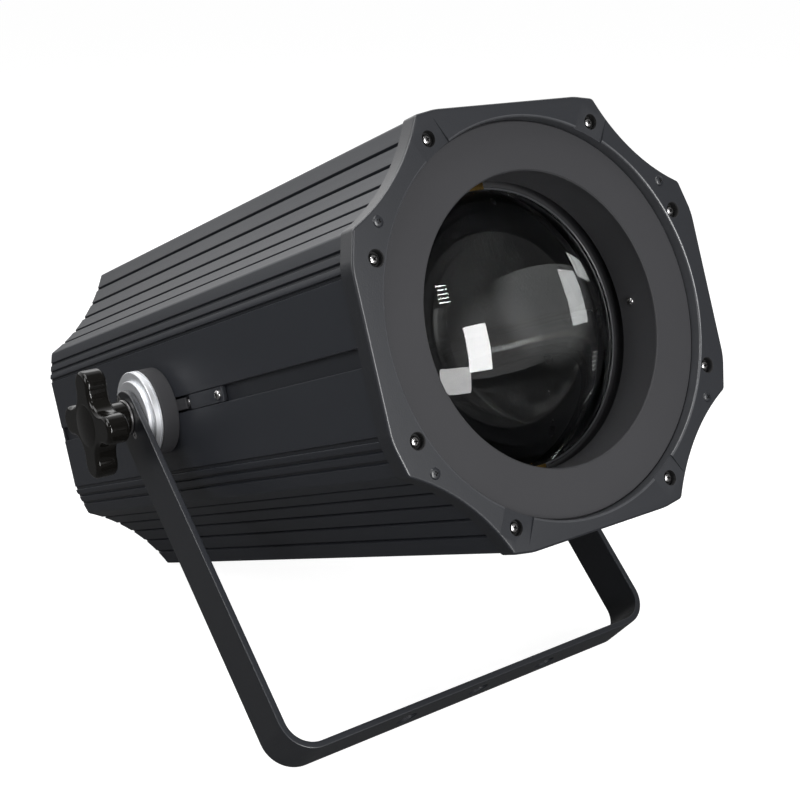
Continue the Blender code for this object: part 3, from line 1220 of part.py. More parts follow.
def build_power_supply():
    floor = -INNER_HALF_HEIGHT + SEAT_GAP
    body = box_mesh((2 * SUPPLY_HALF_WIDTH, SUPPLY_LENGTH, SUPPLY_HEIGHT),
                    (0, SUPPLY_LENGTH / 2, SUPPLY_HEIGHT / 2))
    supply = add_piece("power_supply", body, ALUMINIUM, HEAD, (0, behind(SUPPLY_FRONT), floor))
    join(supply, box_mesh((TERMINALS_WIDTH, TERMINALS_LENGTH, TERMINALS_HEIGHT),
                          (0, SUPPLY_LENGTH + TERMINALS_LENGTH / 2 - TERMINALS_SINK,
                           TERMINALS_HEIGHT / 2 + TERMINALS_LIFT)))


def build_dmx(name, x, pins):
    """Three-pole socket: a round cavity with pins, or with a face that has three holes."""
    seat = BODY_LENGTH + SEAT_GAP
    loops = [rectangle(SOCKET_FLANGE_HALF_WIDTH, SOCKET_FLANGE_HALF_HEIGHT)]
    loops += [circle(SCREW_RADIUS + SCREW_CLEARANCE, TINY_STEPS, (s * SOCKET_SCREW_X, s * SOCKET_SCREW_Z))
              for s in (1, -1)]
    if not pins:
        loops.append(rectangle(LATCH_WIDTH / 2 + SEAT_GAP, LATCH_HEIGHT / 2 + SEAT_GAP, (0, LATCH_OFFSET)))
    middle = seat + SOCKET_FLANGE_THICKNESS / 2
    socket = add_piece(name, flat_mesh(loops, SOCKET_FLANGE_THICKNESS), SOCKET_BLACK, HEAD,
                       (x, behind(middle), SOCKET_Z), TO_FRONT)
    face = SOCKET_FLANGE_THICKNESS / 2
    join(socket, cylinder_mesh(SOCKET_BODY_RADIUS, 0, SOCKET_BODY_LENGTH, MEDIUM_STEPS))
    floor = SOCKET_BORE_DEPTH - face
    if pins:
        cut(socket, cylinder_mesh(SOCKET_BORE_RADIUS, -face - OVERCUT, floor, MEDIUM_STEPS))
        join(socket, copies(cylinder_mesh(CONTACT_RADIUS, floor - CONTACT_LENGTH, floor + OVERLAP, TINY_STEPS),
                            contact_spots()))
    else:
        cut(socket, cylinder_mesh(SOCKET_BORE_RADIUS, -face - OVERCUT, SOCKET_FACE_SINK - face, MEDIUM_STEPS))
        cut(socket, copies(cylinder_mesh(CONTACT_RADIUS + SEAT_GAP, 0, CONTACT_LENGTH, TINY_STEPS),
                           contact_spots()))


def contact_spots():
    return [(CONTACT_CIRCLE * cos(pi / 2 + 2 * pi * i / 3), CONTACT_CIRCLE * sin(pi / 2 + 2 * pi * i / 3), 0)
            for i in range(3)]


def build_power_inlet():
    seat = BODY_LENGTH + SEAT_GAP
    loops = [rectangle(POWER_FLANGE_HALF_WIDTH, POWER_FLANGE_HALF_HEIGHT)]
    loops += [circle(SCREW_RADIUS + SCREW_CLEARANCE, TINY_STEPS, (s * POWER_EAR, 0)) for s in (1, -1)]
    inlet = add_piece("power_inlet", flat_mesh(loops, SOCKET_FLANGE_THICKNESS), SOCKET_BLACK, HEAD,
                      (POWER_INLET_X, behind(seat + SOCKET_FLANGE_THICKNESS / 2), SOCKET_Z), TO_FRONT)
    half = SOCKET_FLANGE_THICKNESS / 2
    body = box_mesh((2 * POWER_BODY_HALF_WIDTH, 2 * POWER_BODY_HALF_HEIGHT, SOCKET_BODY_LENGTH),
                    (0, 0, SOCKET_BODY_LENGTH / 2))
    join(inlet, body)
    cavity = box_mesh((2 * (POWER_BODY_HALF_WIDTH - POWER_WALL), 2 * (POWER_BODY_HALF_HEIGHT - POWER_WALL),
                       SOCKET_BORE_DEPTH + OVERCUT), (0, 0, (SOCKET_BORE_DEPTH - OVERCUT) / 2 - half))
    cut(inlet, cavity)
    floor = SOCKET_BORE_DEPTH - half
    blade = box_mesh((BLADE_WIDTH, BLADE_HEIGHT, CONTACT_LENGTH),
                     (0, 0, floor + OVERLAP - CONTACT_LENGTH / 2))
    spots = [(-BLADE_SPREAD, -BLADE_RISE, 0), (BLADE_SPREAD, -BLADE_RISE, 0), (0, BLADE_RISE, 0)]
    join(inlet, copies(blade, spots))


def build_fittings():
    build_power_inlet()
    build_dmx("dmx_in", DMX_IN_X, True)
    build_dmx("dmx_out", DMX_OUT_X, False)

    cover_inner = BODY_LENGTH - REAR_COVER_THICKNESS - SEAT_GAP
    tip = BODY_LENGTH + SEAT_GAP + SOCKET_FLANGE_THICKNESS + LATCH_PROUD
    foot = cover_inner - LATCH_FOOT
    tongue = box_mesh((LATCH_WIDTH, tip - foot, LATCH_HEIGHT), (0, (tip - foot) / 2, 0))
    latch = add_piece("dmx_latch", tongue, STEEL, HEAD, (DMX_OUT_X, behind(foot), SOCKET_Z + LATCH_OFFSET))
    join(latch, box_mesh((LATCH_WIDTH + 2 * LATCH_SHOULDER, LATCH_FOOT, LATCH_HEIGHT - 2 * LATCH_FOOT_INSET),
                         (0, LATCH_FOOT / 2, 0)))

    seat = BODY_LENGTH + SEAT_GAP
    flange = seat + SOCKET_FLANGE_THICKNESS
    bore = FUSE_CAP_SHANK + SEAT_GAP
    profile = [(bore, flange), (FUSE_FLANGE_RADIUS, flange), (FUSE_FLANGE_RADIUS, seat),
               (FUSE_BODY_RADIUS, seat),
               (FUSE_BODY_RADIUS, seat - FUSE_BODY_LENGTH), (0, seat - FUSE_BODY_LENGTH),
               (0, seat - FUSE_BORE_DEPTH), (bore, seat - FUSE_BORE_DEPTH)]
    profile = [(radius, depth - seat) for radius, depth in profile]
    add_piece("fuse_holder", turned_mesh(profile, MEDIUM_STEPS), SOCKET_BLACK, HEAD,
              (FUSE_X, behind(seat), FUSE_Z), TO_BACK)
    cap_low = flange + SEAT_GAP
    cap_top = cap_low + FUSE_CAP_LENGTH
    shank_end = seat - FUSE_BORE_DEPTH + FUSE_FLOOR_GAP
    profile = [(0, cap_top), (FUSE_CAP_RADIUS, cap_top), (FUSE_CAP_RADIUS, cap_low), (FUSE_CAP_SHANK, cap_low),
               (FUSE_CAP_SHANK, shank_end), (0, shank_end)]
    profile = [(radius, depth - cap_low) for radius, depth in profile]
    cap = add_piece("fuse_cap", turned_mesh(profile, MEDIUM_STEPS), SOCKET_BLACK, HEAD,
                    (FUSE_X, behind(cap_low), FUSE_Z), TO_BACK)
    cut(cap, box_mesh((FUSE_SLOT_LENGTH, FUSE_SLOT_WIDTH, FUSE_SLOT_DEPTH), (0, 0, FUSE_CAP_LENGTH)))

    bend = BODY_LENGTH + LOOP_REACH - LOOP_HALF_SPREAD - LOOP_ROD_RADIUS
    leg = cover_inner - LOOP_TAIL
    path = [(-LOOP_HALF_SPREAD, leg - bend, 0)]
    path += [(x, y, 0) for x, y in arc((0, 0), LOOP_HALF_SPREAD, pi, 0, LOOP_STEPS)]
    path += [(LOOP_HALF_SPREAD, leg - bend, 0)]
    loop = add_piece("safety_loop", rod_mesh(path, LOOP_ROD_RADIUS, PIN_STEPS), STEEL, HEAD,
                     (LOOP_X, behind(bend), 0))
    nut = cylinder_mesh(LOOP_NUT_RADIUS, 0, LOOP_NUT_HEIGHT, HEXAGON)
    join(loop, copies(nut, [across(LOOP_X + side * LOOP_HALF_SPREAD, cover_inner - LOOP_NUT_HEIGHT, 0, TO_BACK)
                            for side in (-1, 1)]), (0, 0, 0), (0, 0, 0))


# Yoke, friction discs and knobs

def build_yoke():
    half = ARM_OUTER_X
    inner = half - YOKE_THICKNESS
    top = YOKE_BAR_WIDTH / 2
    bend = YOKE_BEND_RADIUS
    tight = bend - YOKE_THICKNESS
    floor = -YOKE_DROP
    outer_arc = arc((half - bend, floor + bend), bend, 0, -pi / 2, BEND_STEPS)
    inner_arc = arc((half - bend, floor + bend), tight, -pi / 2, 0, BEND_STEPS)
    right = [(inner, top), (half, top)] + outer_arc
    left = mirrored(outer_arc, x=-1)[::-1] + [(-half, top), (-inner, top)]
    back = mirrored(inner_arc, x=-1)[::-1] + inner_arc
    outline = right + left + back
    yoke = add_piece("yoke", flat_mesh([outline], YOKE_BAR_WIDTH), CHARCOAL, YOKE, (0, 0, 0), TO_FRONT)
    beyond = top + ARM_TOP_SPARE
    spandrel = [(-beyond, 0)] + arc((0, 0), top, pi, 0, ARM_TOP_STEPS)
    spandrel += [(beyond, 0), (beyond, beyond), (-beyond, beyond)]
    cut(yoke, flat_mesh([side_loop(spandrel, 1)], 2 * (half + OVERCUT)), (0, 0, 0), outward(1))
    holes = cylinder_mesh(CLAMP_HOLE_RADIUS, floor - OVERCUT, floor + YOKE_THICKNESS + OVERCUT, MEDIUM_STEPS)
    cut(yoke, copies(holes, [(i * CLAMP_HOLE_SPACING, 0, 0) for i in (-1, 0, 1)]), (0, 0, 0), (0, 0, 0))
    bore = cylinder_mesh(ARM_HOLE_RADIUS, -half - OVERCUT, half + OVERCUT, MEDIUM_STEPS)
    cut(yoke, bore, (0, 0, 0), outward(1))
    hole = DISC_SCREW_RADIUS + SCREW_CLEARANCE
    room = DISC_SCREW_HEAD_RADIUS + SCREW_CLEARANCE
    through = YOKE_THICKNESS + OVERCUT
    sunk = turned_mesh([(0, through), (hole, through), (hole, DISC_SCREW_SEAT), (room, DISC_SCREW_SEAT),
                        (room, -OVERCUT), (0, -OVERCUT)], PIN_STEPS)
    places = []
    for side in (-1, 1):
        turn = Euler(outward(-side)).to_matrix().to_4x4()
        places += [Matrix.Translation((side * half, 0, z * DISC_SCREW_OFFSET)) @ turn for z in (-1, 1)]
    cut(yoke, copies(sunk, places), (0, 0, 0), (0, 0, 0))
    for label, side in (("left", -1), ("right", 1)):
        build_friction_disc(side, label)


def build_friction_disc(side, label):
    step = FRICTION_DISC_THICKNESS + FRICTION_STEP_THICKNESS
    edge = FRICTION_DISC_THICKNESS
    profile = [(ARM_HOLE_RADIUS, step), (FRICTION_STEP_RADIUS, step), (FRICTION_STEP_RADIUS, edge),
               (FRICTION_DISC_RADIUS, edge), (FRICTION_DISC_RADIUS, 0), (ARM_HOLE_RADIUS, 0)]
    disc = add_piece("friction_disc_" + label, turned_mesh(profile, LARGE_STEPS), ALUMINIUM, YOKE,
                     (side * DISC_INNER_X, 0, 0), outward(side))
    bottom = step - DISC_SCREW_BITE - DISC_DRILL_TIP
    drill = cylinder_mesh(DISC_SCREW_RADIUS + SCREW_CLEARANCE, bottom, step + OVERCUT, PIN_STEPS)
    cut(disc, copies(drill, [(z * DISC_SCREW_OFFSET, 0, 0) for z in (-1, 1)]))


def star_outline(turn):
    """Outline of the knob: round lobes that flow into round hollows."""
    tip = KNOB_REACH - KNOB_TIP_RADIUS
    half = pi / KNOB_LOBES
    both = KNOB_TIP_RADIUS + KNOB_VALLEY_RADIUS
    valley = tip * cos(half) + sqrt(both ** 2 - (tip * sin(half)) ** 2)
    points = []
    for lobe in range(KNOB_LOBES):
        heading = turn + 2 * half * lobe
        between = heading + half
        centre = (tip * cos(heading), tip * sin(heading))
        hollow = (valley * cos(between), valley * sin(between))
        toward = atan2(hollow[1] - centre[1], hollow[0] - centre[0])
        swing = (toward - heading) % (2 * pi)
        points += arc(centre, KNOB_TIP_RADIUS, heading - swing, heading + swing, LOBE_STEPS)
        start = heading + swing + pi
        points += arc(hollow, KNOB_VALLEY_RADIUS, start, 2 * (between + pi) - start, HOLLOW_STEPS)[1:-1]
    return points


def build_knob(side, label):
    ring = ring_profile(ARM_HOLE_RADIUS, KNOB_WASHER_RADIUS, 0, KNOB_WASHER_THICKNESS)
    washer = turned_mesh(ring, MEDIUM_STEPS)
    add_piece("knob_washer_" + label, washer, STEEL, YOKE, (side * WASHER_X, 0, 0), outward(side))
    half = KNOB_THICKNESS / 2
    star = flat_mesh([star_outline(side * KNOB_TURN)], KNOB_THICKNESS)
    star = round_rim(star, (half, -half), KNOB_EDGE_ROUND, 1)
    middle = (side * (STAR_X + KNOB_THICKNESS / 2), 0, 0)
    knob = add_piece("knob_" + label, star, GLOSS_BLACK, HEAD, middle, outward(side))
    low = KNOB_X - STAR_X - half
    join(knob, cylinder_mesh(KNOB_NECK_RADIUS, low, 0, MEDIUM_STEPS))
    ball = (KNOB_CROWN_RADIUS ** 2 + KNOB_CROWN ** 2) / (2 * KNOB_CROWN)
    span = asin(KNOB_CROWN_RADIUS / ball)
    foot = half - OVERLAP
    swings = [span * i / CROWN_STEPS for i in range(CROWN_STEPS + 1)]
    crown = [(ball * sin(swing), half + KNOB_CROWN - ball * (1 - cos(swing))) for swing in swings]
    join(knob, turned_mesh(crown + [(KNOB_CROWN_RADIUS, foot), (0, foot)], MEDIUM_STEPS))
    cut(knob, cylinder_mesh(ARM_HOLE_RADIUS, low - OVERCUT, half - KNOB_CAP_WALL, MEDIUM_STEPS))


def main():
    build_housing()
    for label, side in (("left", -1), ("right", 1)):
        build_rail(side, label)
        build_strip(side, label)
        build_pivot_plate(side, label)
        build_stud(side, label)
        build_strip_pin(side, label)
    build_bezel()
    build_bezel_screws()
    build_baffle()
    build_zoom()
    build_lamp()
    build_rear_cover()
    build_controls()
    build_fan()
    build_power_supply()
    build_fittings()
    build_yoke()
    for label, side in (("left", -1), ("right", 1)):
        build_knob(side, label)


main()
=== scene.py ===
from math import asin, atan2, cos, pi, radians, sin, sqrt, tan

import bmesh
import bpy
from bpy.props import FloatProperty, FloatVectorProperty, IntProperty, PointerProperty
from bpy.types import Operator, Panel, PropertyGroup
from mathutils import Matrix, Vector


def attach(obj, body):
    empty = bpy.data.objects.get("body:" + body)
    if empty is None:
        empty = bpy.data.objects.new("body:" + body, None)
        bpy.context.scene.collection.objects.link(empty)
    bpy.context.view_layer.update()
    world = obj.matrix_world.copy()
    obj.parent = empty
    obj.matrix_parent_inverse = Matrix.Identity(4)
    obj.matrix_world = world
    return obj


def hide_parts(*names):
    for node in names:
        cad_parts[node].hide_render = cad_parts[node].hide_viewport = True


bl_info = {
    "name": "Zoom stage spotlight",
    "version": (1, 0, 0),
    "blender": (4, 5, 0),
    "location": "3D View > Sidebar > Spotlight",
    "description": "Smooth shells, screws and finishes for the solids of a zoom spotlight",
    "category": "Add Mesh",
}

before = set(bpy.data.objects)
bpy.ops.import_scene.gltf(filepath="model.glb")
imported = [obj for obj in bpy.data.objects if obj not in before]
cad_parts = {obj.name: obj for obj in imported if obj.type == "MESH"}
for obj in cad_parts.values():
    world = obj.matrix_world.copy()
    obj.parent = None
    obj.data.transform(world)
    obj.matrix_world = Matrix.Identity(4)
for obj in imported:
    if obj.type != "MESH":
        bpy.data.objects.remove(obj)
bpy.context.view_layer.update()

# Places that all the pieces share, in metres
TILT_AXIS = Vector((0, 0.0338, 0.166993))
PIVOT_SETBACK = 0.2453
BEAM_RAISE = radians(21.8)
YOKE_LEAN = radians(48.048)
HEAD_SPACE = Matrix.Translation(TILT_AXIS) @ Matrix.Rotation(-BEAM_RAISE, 4, "X")
LIGHT_SPACE = HEAD_SPACE @ Matrix.Translation((0, -PIVOT_SETBACK, 0))
YOKE_SPACE = Matrix.Translation(TILT_AXIS) @ Matrix.Rotation(-YOKE_LEAN, 4, "X")
TO_BACK = Matrix.Rotation(-pi / 2, 4, "X")
SIDES = (("left", -1), ("right", 1))
MERGE = 1e-6


def outward(side):
    """Turn that points local Z away from the housing on one side: -1 left, +1 right."""
    return Matrix.Rotation(side * pi / 2, 4, "Y")


def at(x, y, z):
    return Matrix.Translation((x, y, z))


def spin(angle):
    """Turn round local Z, in degrees."""
    return Matrix.Rotation(radians(angle), 4, "Z")


def in_corners(x, z):
    """A spot and its mirror images across both middle planes."""
    return [(x * sx, z * sz) for sx in (-1, 1) for sz in (-1, 1)]


def on_axis(side, station):
    """Place on the tilt axis, at a station from the middle, that faces away from the housing."""
    return HEAD_SPACE @ at(side * station, 0, 0) @ outward(side)


# Sizes and colours that a user may change

def length(name, description, default):
    return FloatProperty(name=name, description=description, default=default, min=0.0,
                         unit="LENGTH", subtype="DISTANCE", precision=4)


def lean(name, description, degrees):
    return FloatProperty(name=name, description=description, default=radians(degrees),
                         subtype="ANGLE")


def color(name, description, default):
    return FloatVectorProperty(name=name, description=description, default=default, size=3,
                               min=0.0, max=1.0, subtype="COLOR")


def power(name, description, default):
    return FloatProperty(name=name, description=description, default=default, min=0.0, unit="POWER")


def strength(name, description, default):
    return FloatProperty(name=name, description=description, default=default, min=0.0)


class SPOTLIGHT_PG_housing(PropertyGroup):
    half_width: length("Half width", "From the middle to a side flat", 0.1158)
    half_height: length("Half height", "From the middle to the top flat", 0.1119)
    side_flat: length("Side flat", "Half height of the flat on each side", 0.0417)
    top_flat: length("Top flat", "Half width of the flat on the top", 0.0473)
    side_lean: lean("Side lean", "Lean of the run above a side flat", 16.6)
    top_lean: lean("Top lean", "Lean of the run beside the top flat", 8.7)
    scallop_x: length("Scallop centre across", "Centre of a corner's scallop", 0.1583)
    scallop_z: length("Scallop centre up", "Centre of a corner's scallop", 0.1584)
    scallop_radius: length("Scallop radius", "Radius of the scalloped corners", 0.110)
    wall: length("Wall", "Thickness of the extrusion", 0.003)
    channel: length("Channel", "Half height of the channel between the shells", 0.00475)
    front: length("Front", "Where the shells begin, behind the bezel's face", 0.0108)
    rear: length("Rear", "Where the shells end, behind the bezel's face", 0.4152)
    flute_width: length("Flute width", "Width of a flute at its mouth", 0.0024)
    flute_depth: length("Flute depth", "Depth of a flute", 0.0016)
    flute_pitch: length("Flute pitch", "Distance between the flutes of a scallop", 0.0124)
    scallop_flutes: IntProperty(name="Scallop flutes", description="Flutes in each scallop",
                                default=5, min=1)


class SPOTLIGHT_PG_bezel(PropertyGroup):
    overhang: length("Overhang", "How far the bezel stands out past the shells", 0.001)
    thickness: length("Thickness", "Thickness of the cast frame", 0.0105)
    edge_round: length("Edge round", "Rounding of the front rim", 0.0014)
    bore: length("Bore radius", "Radius of the round opening", 0.1050)
    lip: length("Lip radius", "Radius of the thin lip at the back of the bore", 0.100)
    chamfer: length("Bore chamfer", "Rounding of the mouth of the bore", 0.0012)
    screw_head: length("Screw head radius", "Radius of the bright pan heads", 0.00285)
    # The counterbores are black from painted shade.
    counterbore: length("Counterbore radius", "Radius of the black counterbores", 0.00415)
    counterbore_depth: length("Counterbore depth", "Depth of the black counterbores", 0.0040)
    corner_head: length("Corner head radius", "Radius of the painted corner screws", 0.0031)


class SPOTLIGHT_PG_optics(PropertyGroup):
    ring_recess: length("Ring recess", "How far the ring plate lies behind the face", 0.0061)
    ring_radius: length("Ring radius", "Outer radius of the ring plate", 0.1047)
    aperture: length("Aperture radius", "Radius of the opening in the ring plate", 0.0782)
    tube: length("Tube radius", "Inner radius of the tube behind the ring plate", 0.0790)
    tube_rear: length("Tube rear", "Where the tube ends, behind the bezel's face", 0.034)
    lens: length("Lens radius", "Radius of the lens at its rim", 0.0776)
    dome: length("Dome radius", "Radius of the clear dome where it meets the rim", 0.0760)
    dome_height: length("Dome height", "How far the dome stands out of its rim", 0.028)
    lens_depth: length("Lens depth", "Where the lens's rim begins, behind the bezel's face", 0.041)
    rim: length("Rim thickness", "Thickness of the lens at its rim", 0.005)
    rear_curve: length("Rear curve", "Radius of the lens's weaker rear surface", 0.420)


class SPOTLIGHT_PG_joint(PropertyGroup):
    boss: length("Boss radius", "Radius of the black boss on the housing", 0.0268)
    boss_thickness: length("Boss thickness", "Thickness of the black boss", 0.0103)
    disc: length("Disc radius", "Radius of the bright friction disc", 0.0266)
    disc_thickness: length("Disc thickness", "Thickness of the bright friction disc", 0.0048)
    step: length("Step radius", "Radius of the disc's step", 0.0212)
    step_thickness: length("Step thickness", "Thickness of the disc's step", 0.0021)
    knob_reach: length("Knob reach", "From the knob's middle to the tip of a lobe", 0.033)
    knob_tip: length("Lobe radius", "Radius of a lobe's tip", 0.009)
    knob_valley: length("Hollow radius", "Radius of the hollow between two lobes", 0.012)
    knob_thickness: length("Knob thickness", "Thickness of the star", 0.014)
    knob_round: length("Knob rounding", "Rounding of the star's edges", 0.0026)
    lobes: IntProperty(name="Lobes", description="Lobes of the star knob", default=4, min=3)


class SPOTLIGHT_PG_yoke(PropertyGroup):
    strap: length("Strap width", "Width of the flat bar", 0.032)
    thickness: length("Strap thickness", "Thickness of the flat bar", 0.004)
    half_width: length("Half width", "From the middle to an arm's outer face", 0.1379)
    drop: length("Drop", "From the tilt axis to the cross bar's outer face", 0.232)
    bend: length("Bend radius", "Outer radius of the two bends", 0.020)
    hole: length("Clamp hole radius", "Radius of the holes in the cross bar", 0.0065)
    hole_pitch: length("Clamp hole pitch", "Distance between the holes", 0.054)


class SPOTLIGHT_PG_finish(PropertyGroup):
    coat: color("Powder coat", "Satin charcoal coat of bezel and yoke", (0.0110, 0.0124, 0.0162))
    # The shells wear the same coat as bezel and yoke, painted about twice as light: painted light
    # on the shells.
    extrusion: color("Extrusion", "The same coat on the two shells", (0.0210, 0.0232, 0.0290))
    flat: color("Flat black", "Matte black of ring, tube and bosses", (0.0405, 0.0405, 0.0435))
    plastic: color("Black plastic", "Sockets, fan and carriage", (0.022, 0.022, 0.024))
    knob: color("Knob", "Glossy plastic of the star knobs", (0.0050, 0.0046, 0.0040))
    steel: color("Steel", "Screws, pins and washers", (0.52, 0.51, 0.51))
    aluminium: color("Aluminium", "Discs, heat sink and plates", (0.74, 0.75, 0.77))
    # The bore wall's paint is lighter than the coat around it: a painted highlight on the wall.
    bore: color("Bore wall", "Wall of the bezel's bore, lighter for a painted highlight", (0.050, 0.052, 0.057))
    brass: color("Brass", "Lens clips", (0.42, 0.27, 0.08))
    button: color("Buttons", "Grey plastic of the menu buttons", (0.16, 0.165, 0.17))
    board: color("Circuit board", "Control board", (0.012, 0.10, 0.045))
    phosphor: color("Phosphor", "Face of the light source", (0.75, 0.60, 0.14))


class SPOTLIGHT_PG_studio(PropertyGroup):
    top: power("Top light", "Power of the softbox above", 19.0)
    left: power("Left light", "Power of the softbox at the left", 12.0)
    front: power("Front light", "Power of the tall softbox in front", 34.0)
    card: power("Card", "Power of the low card at the front left", 3.0)
    back: power("Back light", "Power of the softbox behind", 8.0)
    strips: power("Strips", "Power of each small strip light above the front", 0.5)
    sky: strength("Sky", "Strength of the even light from all round", 0.22)
    backdrop: strength("Backdrop", "Strength of the white backdrop in reflections", 0.95)
    studio: strength("Studio", "Strength of the dim studio behind the camera in reflections", 0.14)
    glow: strength("Glow", "Strength of the soft glow at the front in reflections", 0.75)


GROUPS = {
    "spotlight_housing": SPOTLIGHT_PG_housing,
    "spotlight_bezel": SPOTLIGHT_PG_bezel,
    "spotlight_optics": SPOTLIGHT_PG_optics,
    "spotlight_joint": SPOTLIGHT_PG_joint,
    "spotlight_yoke": SPOTLIGHT_PG_yoke,
    "spotlight_finish": SPOTLIGHT_PG_finish,
    "spotlight_studio": SPOTLIGHT_PG_studio,
}

# Screws and pads of the bezel, across and up from its middle
TOP_SCREW = (0.0551, 0.0983)
SIDE_SCREW = (0.1019, 0.0444)
SCREW_SPOTS = in_corners(*TOP_SCREW) + in_corners(*SIDE_SCREW)
CORNER_SCREW = (0.0962, 0.0615)
PAD_ANGLE = radians(60.7)
PAD_WIDTH = 0.019
PAD_REACH = 0.1195
PAD_DEPTH = 0.0013

# Flutes, by their distance from a kink or a corner of the section
KINK_FLUTE = 0.0021
SIDE_FLUTES = (0.0146, 0.0085)
TOP_FLUTE = 0.0080

# Pieces in the side channels: sizes, then the places across and behind the bezel's face
KEY_SIZE = Vector((0.0060, 0.0393, 0.0068))
KEY_X = 0.1132
STRIP_SIZE = (0.0031, 0.0429, 0.0089)
STRIP_PLACE = (0.11415, 0.17995)
CHANNEL_SCREW_PLACE = (0.1175, 0.1635)
CHANNEL_SCREW_TURN = 28.6479
PIN_PLACE = (0.1088, 0.2037)

# Stations of the tilt joint along its axis
BOSS_X = 0.1161
DISC_X = 0.1267
WASHER_X = 0.1382
KNOB_X = 0.1400
STAR_X = 0.1505
WASHER_THICKNESS = 0.0015
BORE_RADIUS = 0.0054
DISC_SCREW_OFFSET = 0.0130
KNOB_TURN = radians(13)

# Rear cover's outer face behind the bezel's face, and the thickness of the sockets' flanges
REAR_FACE = 0.418
FLANGE = 0.0023

# Point that the lamps aim at, and the directions of the white backdrop and of the soft glow
LAMP_AIM = Vector((0.0, -0.16, 0.26))
BEHIND = (0.26, 0.966, 0.0)
GLOW = (0.203, -0.957, 0.208)

# Colours that no user changes: the reflector, the display window, and the near-black painted shade
# of the screw seats and drives
MIRROR = (0.86, 0.87, 0.88)
WINDOW = (0.010, 0.011, 0.013)
RECESS_SHADE = (0.006, 0.006, 0.0065)

# Camera that took the photograph, in the light's own space
CAMERA_LENS = 60.84
CAMERA_SENSOR = 36.0
CAMERA_PLACE = (-0.4671, -0.5261, -0.0124)
CAMERA_RIGHT = Vector((0.8024, -0.5544, -0.2214))
CAMERA_DOWN = Vector((-0.1922, 0.1113, -0.9751))
CAMERA_FORWARD = Vector((0.5652, 0.8249, -0.0173))


# Shader maths

def sign(name, reflected=False):
    """Method of a Python sign that adds a Math node; a reflected one takes its socket second."""
    def method(self, other):
        first, second = (other, self) if reflected else (self, other)
        return self.nodes.add("ShaderNodeMath", {"operation": name}, {0: first, 1: second})
    return method


class Value:
    """Socket that stands in a Python expression."""
    __add__, __radd__ = sign("ADD"), sign("ADD", True)
    __sub__, __rsub__ = sign("SUBTRACT"), sign("SUBTRACT", True)
    __mul__, __rmul__ = sign("MULTIPLY"), sign("MULTIPLY", True)
    __gt__ = sign("GREATER_THAN")

    def __init__(self, nodes, socket):
        self.nodes = nodes
        self.socket = socket


class Nodes:
    """Nodes of a material or of the world, added one by one."""

    def __init__(self, owner):
        owner.use_nodes = True
        self.tree = owner.node_tree
        self.place = self.add("ShaderNodeTexCoord", {}, {}, "Object")

    def add(self, kind, settings, inputs, output=0):
        node = self.tree.nodes.new(kind)
        for name, value in settings.items():
            setattr(node, name, value)
        for name, value in inputs.items():
            self.feed(node.inputs[name], value)
        return Value(self, node.outputs[output])

    def feed(self, socket, value):
        if isinstance(value, Value):
            self.tree.links.new(value.socket, socket)
        else:
            socket.default_value = value

    def path(self, kind):
        """1 for light paths of one kind and 0 for all others."""
        return self.add("ShaderNodeLightPath", {}, {}, kind)

    def vector(self, operation, first, second=(0, 0, 0)):
        output = "Value" if operation in ("DOT_PRODUCT", "LENGTH") else "Vector"
        return self.add("ShaderNodeVectorMath", {"operation": operation}, {0: first, 1: second},
                        output)

    def toward(self, direction, low, high):
        """Rises from 0 to 1 as a ray turns towards a direction."""
        heading = self.vector("DOT_PRODUCT", self.place, direction)
        return self.add("ShaderNodeMapRange", {"interpolation_type": "SMOOTHSTEP"},
                        {"Value": heading, "From Min": low, "From Max": high}, "Result")


FINISHES = {}


class Finish(Nodes):
    """Material, kept in FINISHES under a short key."""

    def __init__(self, key, name, metallic=0.0):
        FINISHES[key] = bpy.data.materials.new(name)
        super().__init__(FINISHES[key])
        self.shader = self.tree.nodes["Principled BSDF"]
        self.set(Metallic=metallic)

    def set(self, **values):
        for name, value in values.items():
            self.feed(self.shader.inputs[name.replace("_", " ")], value)

    def noise(self, scale, detail=2.0, place=None):
        return self.add("ShaderNodeTexNoise", {},
                        {"Vector": place or self.place, "Scale": scale, "Detail": detail}, "Fac")

    def streaks(self, stretch, scale):
        """Noise drawn out along one direction, for a brushed or extruded surface."""
        drawn = self.add("ShaderNodeMapping", {}, {"Vector": self.place, "Scale": stretch})
        return self.noise(scale, 3.0, drawn)

    def rings(self, scale):
        """Noise in rings round the tilt axis, as a lathe leaves it."""
        across = self.vector("MULTIPLY", self.vector("SUBTRACT", self.place, TILT_AXIS), (0, 1, 1))
        return self.add("ShaderNodeTexNoise", {"noise_dimensions": "1D"},
                        {"W": self.vector("LENGTH", across) * scale, "Detail": 2.0}, "Fac")

    def tint(self, factor, base, low=0.9, high=1.1):
        """Base colour that wanders between a darker and a lighter shade of itself."""
        darker = [channel * low for channel in base]
        lighter = [min(1.0, channel * high) for channel in base]
        self.set(Base_Color=self.add("ShaderNodeMix", {"data_type": "RGBA"},
                                     {0: factor, 6: (*darker, 1.0), 7: (*lighter, 1.0)}, 2))

    def bump(self, height, distance, strength=1.0):
        self.set(Normal=self.add("ShaderNodeBump", {}, {"Height": height, "Distance": distance,
                                                        "Strength": strength}, "Normal"))


def plain(key, name, base, scale, roughness, spread, grain, low=0.9, high=1.1, metallic=0.0,
          **others):
    """Finish with one noise in its colour and another in its roughness."""
    made = Finish(key, name, metallic)
    made.tint(made.noise(scale), base, low, high)
    made.set(Roughness=roughness + spread * made.noise(grain), **others)


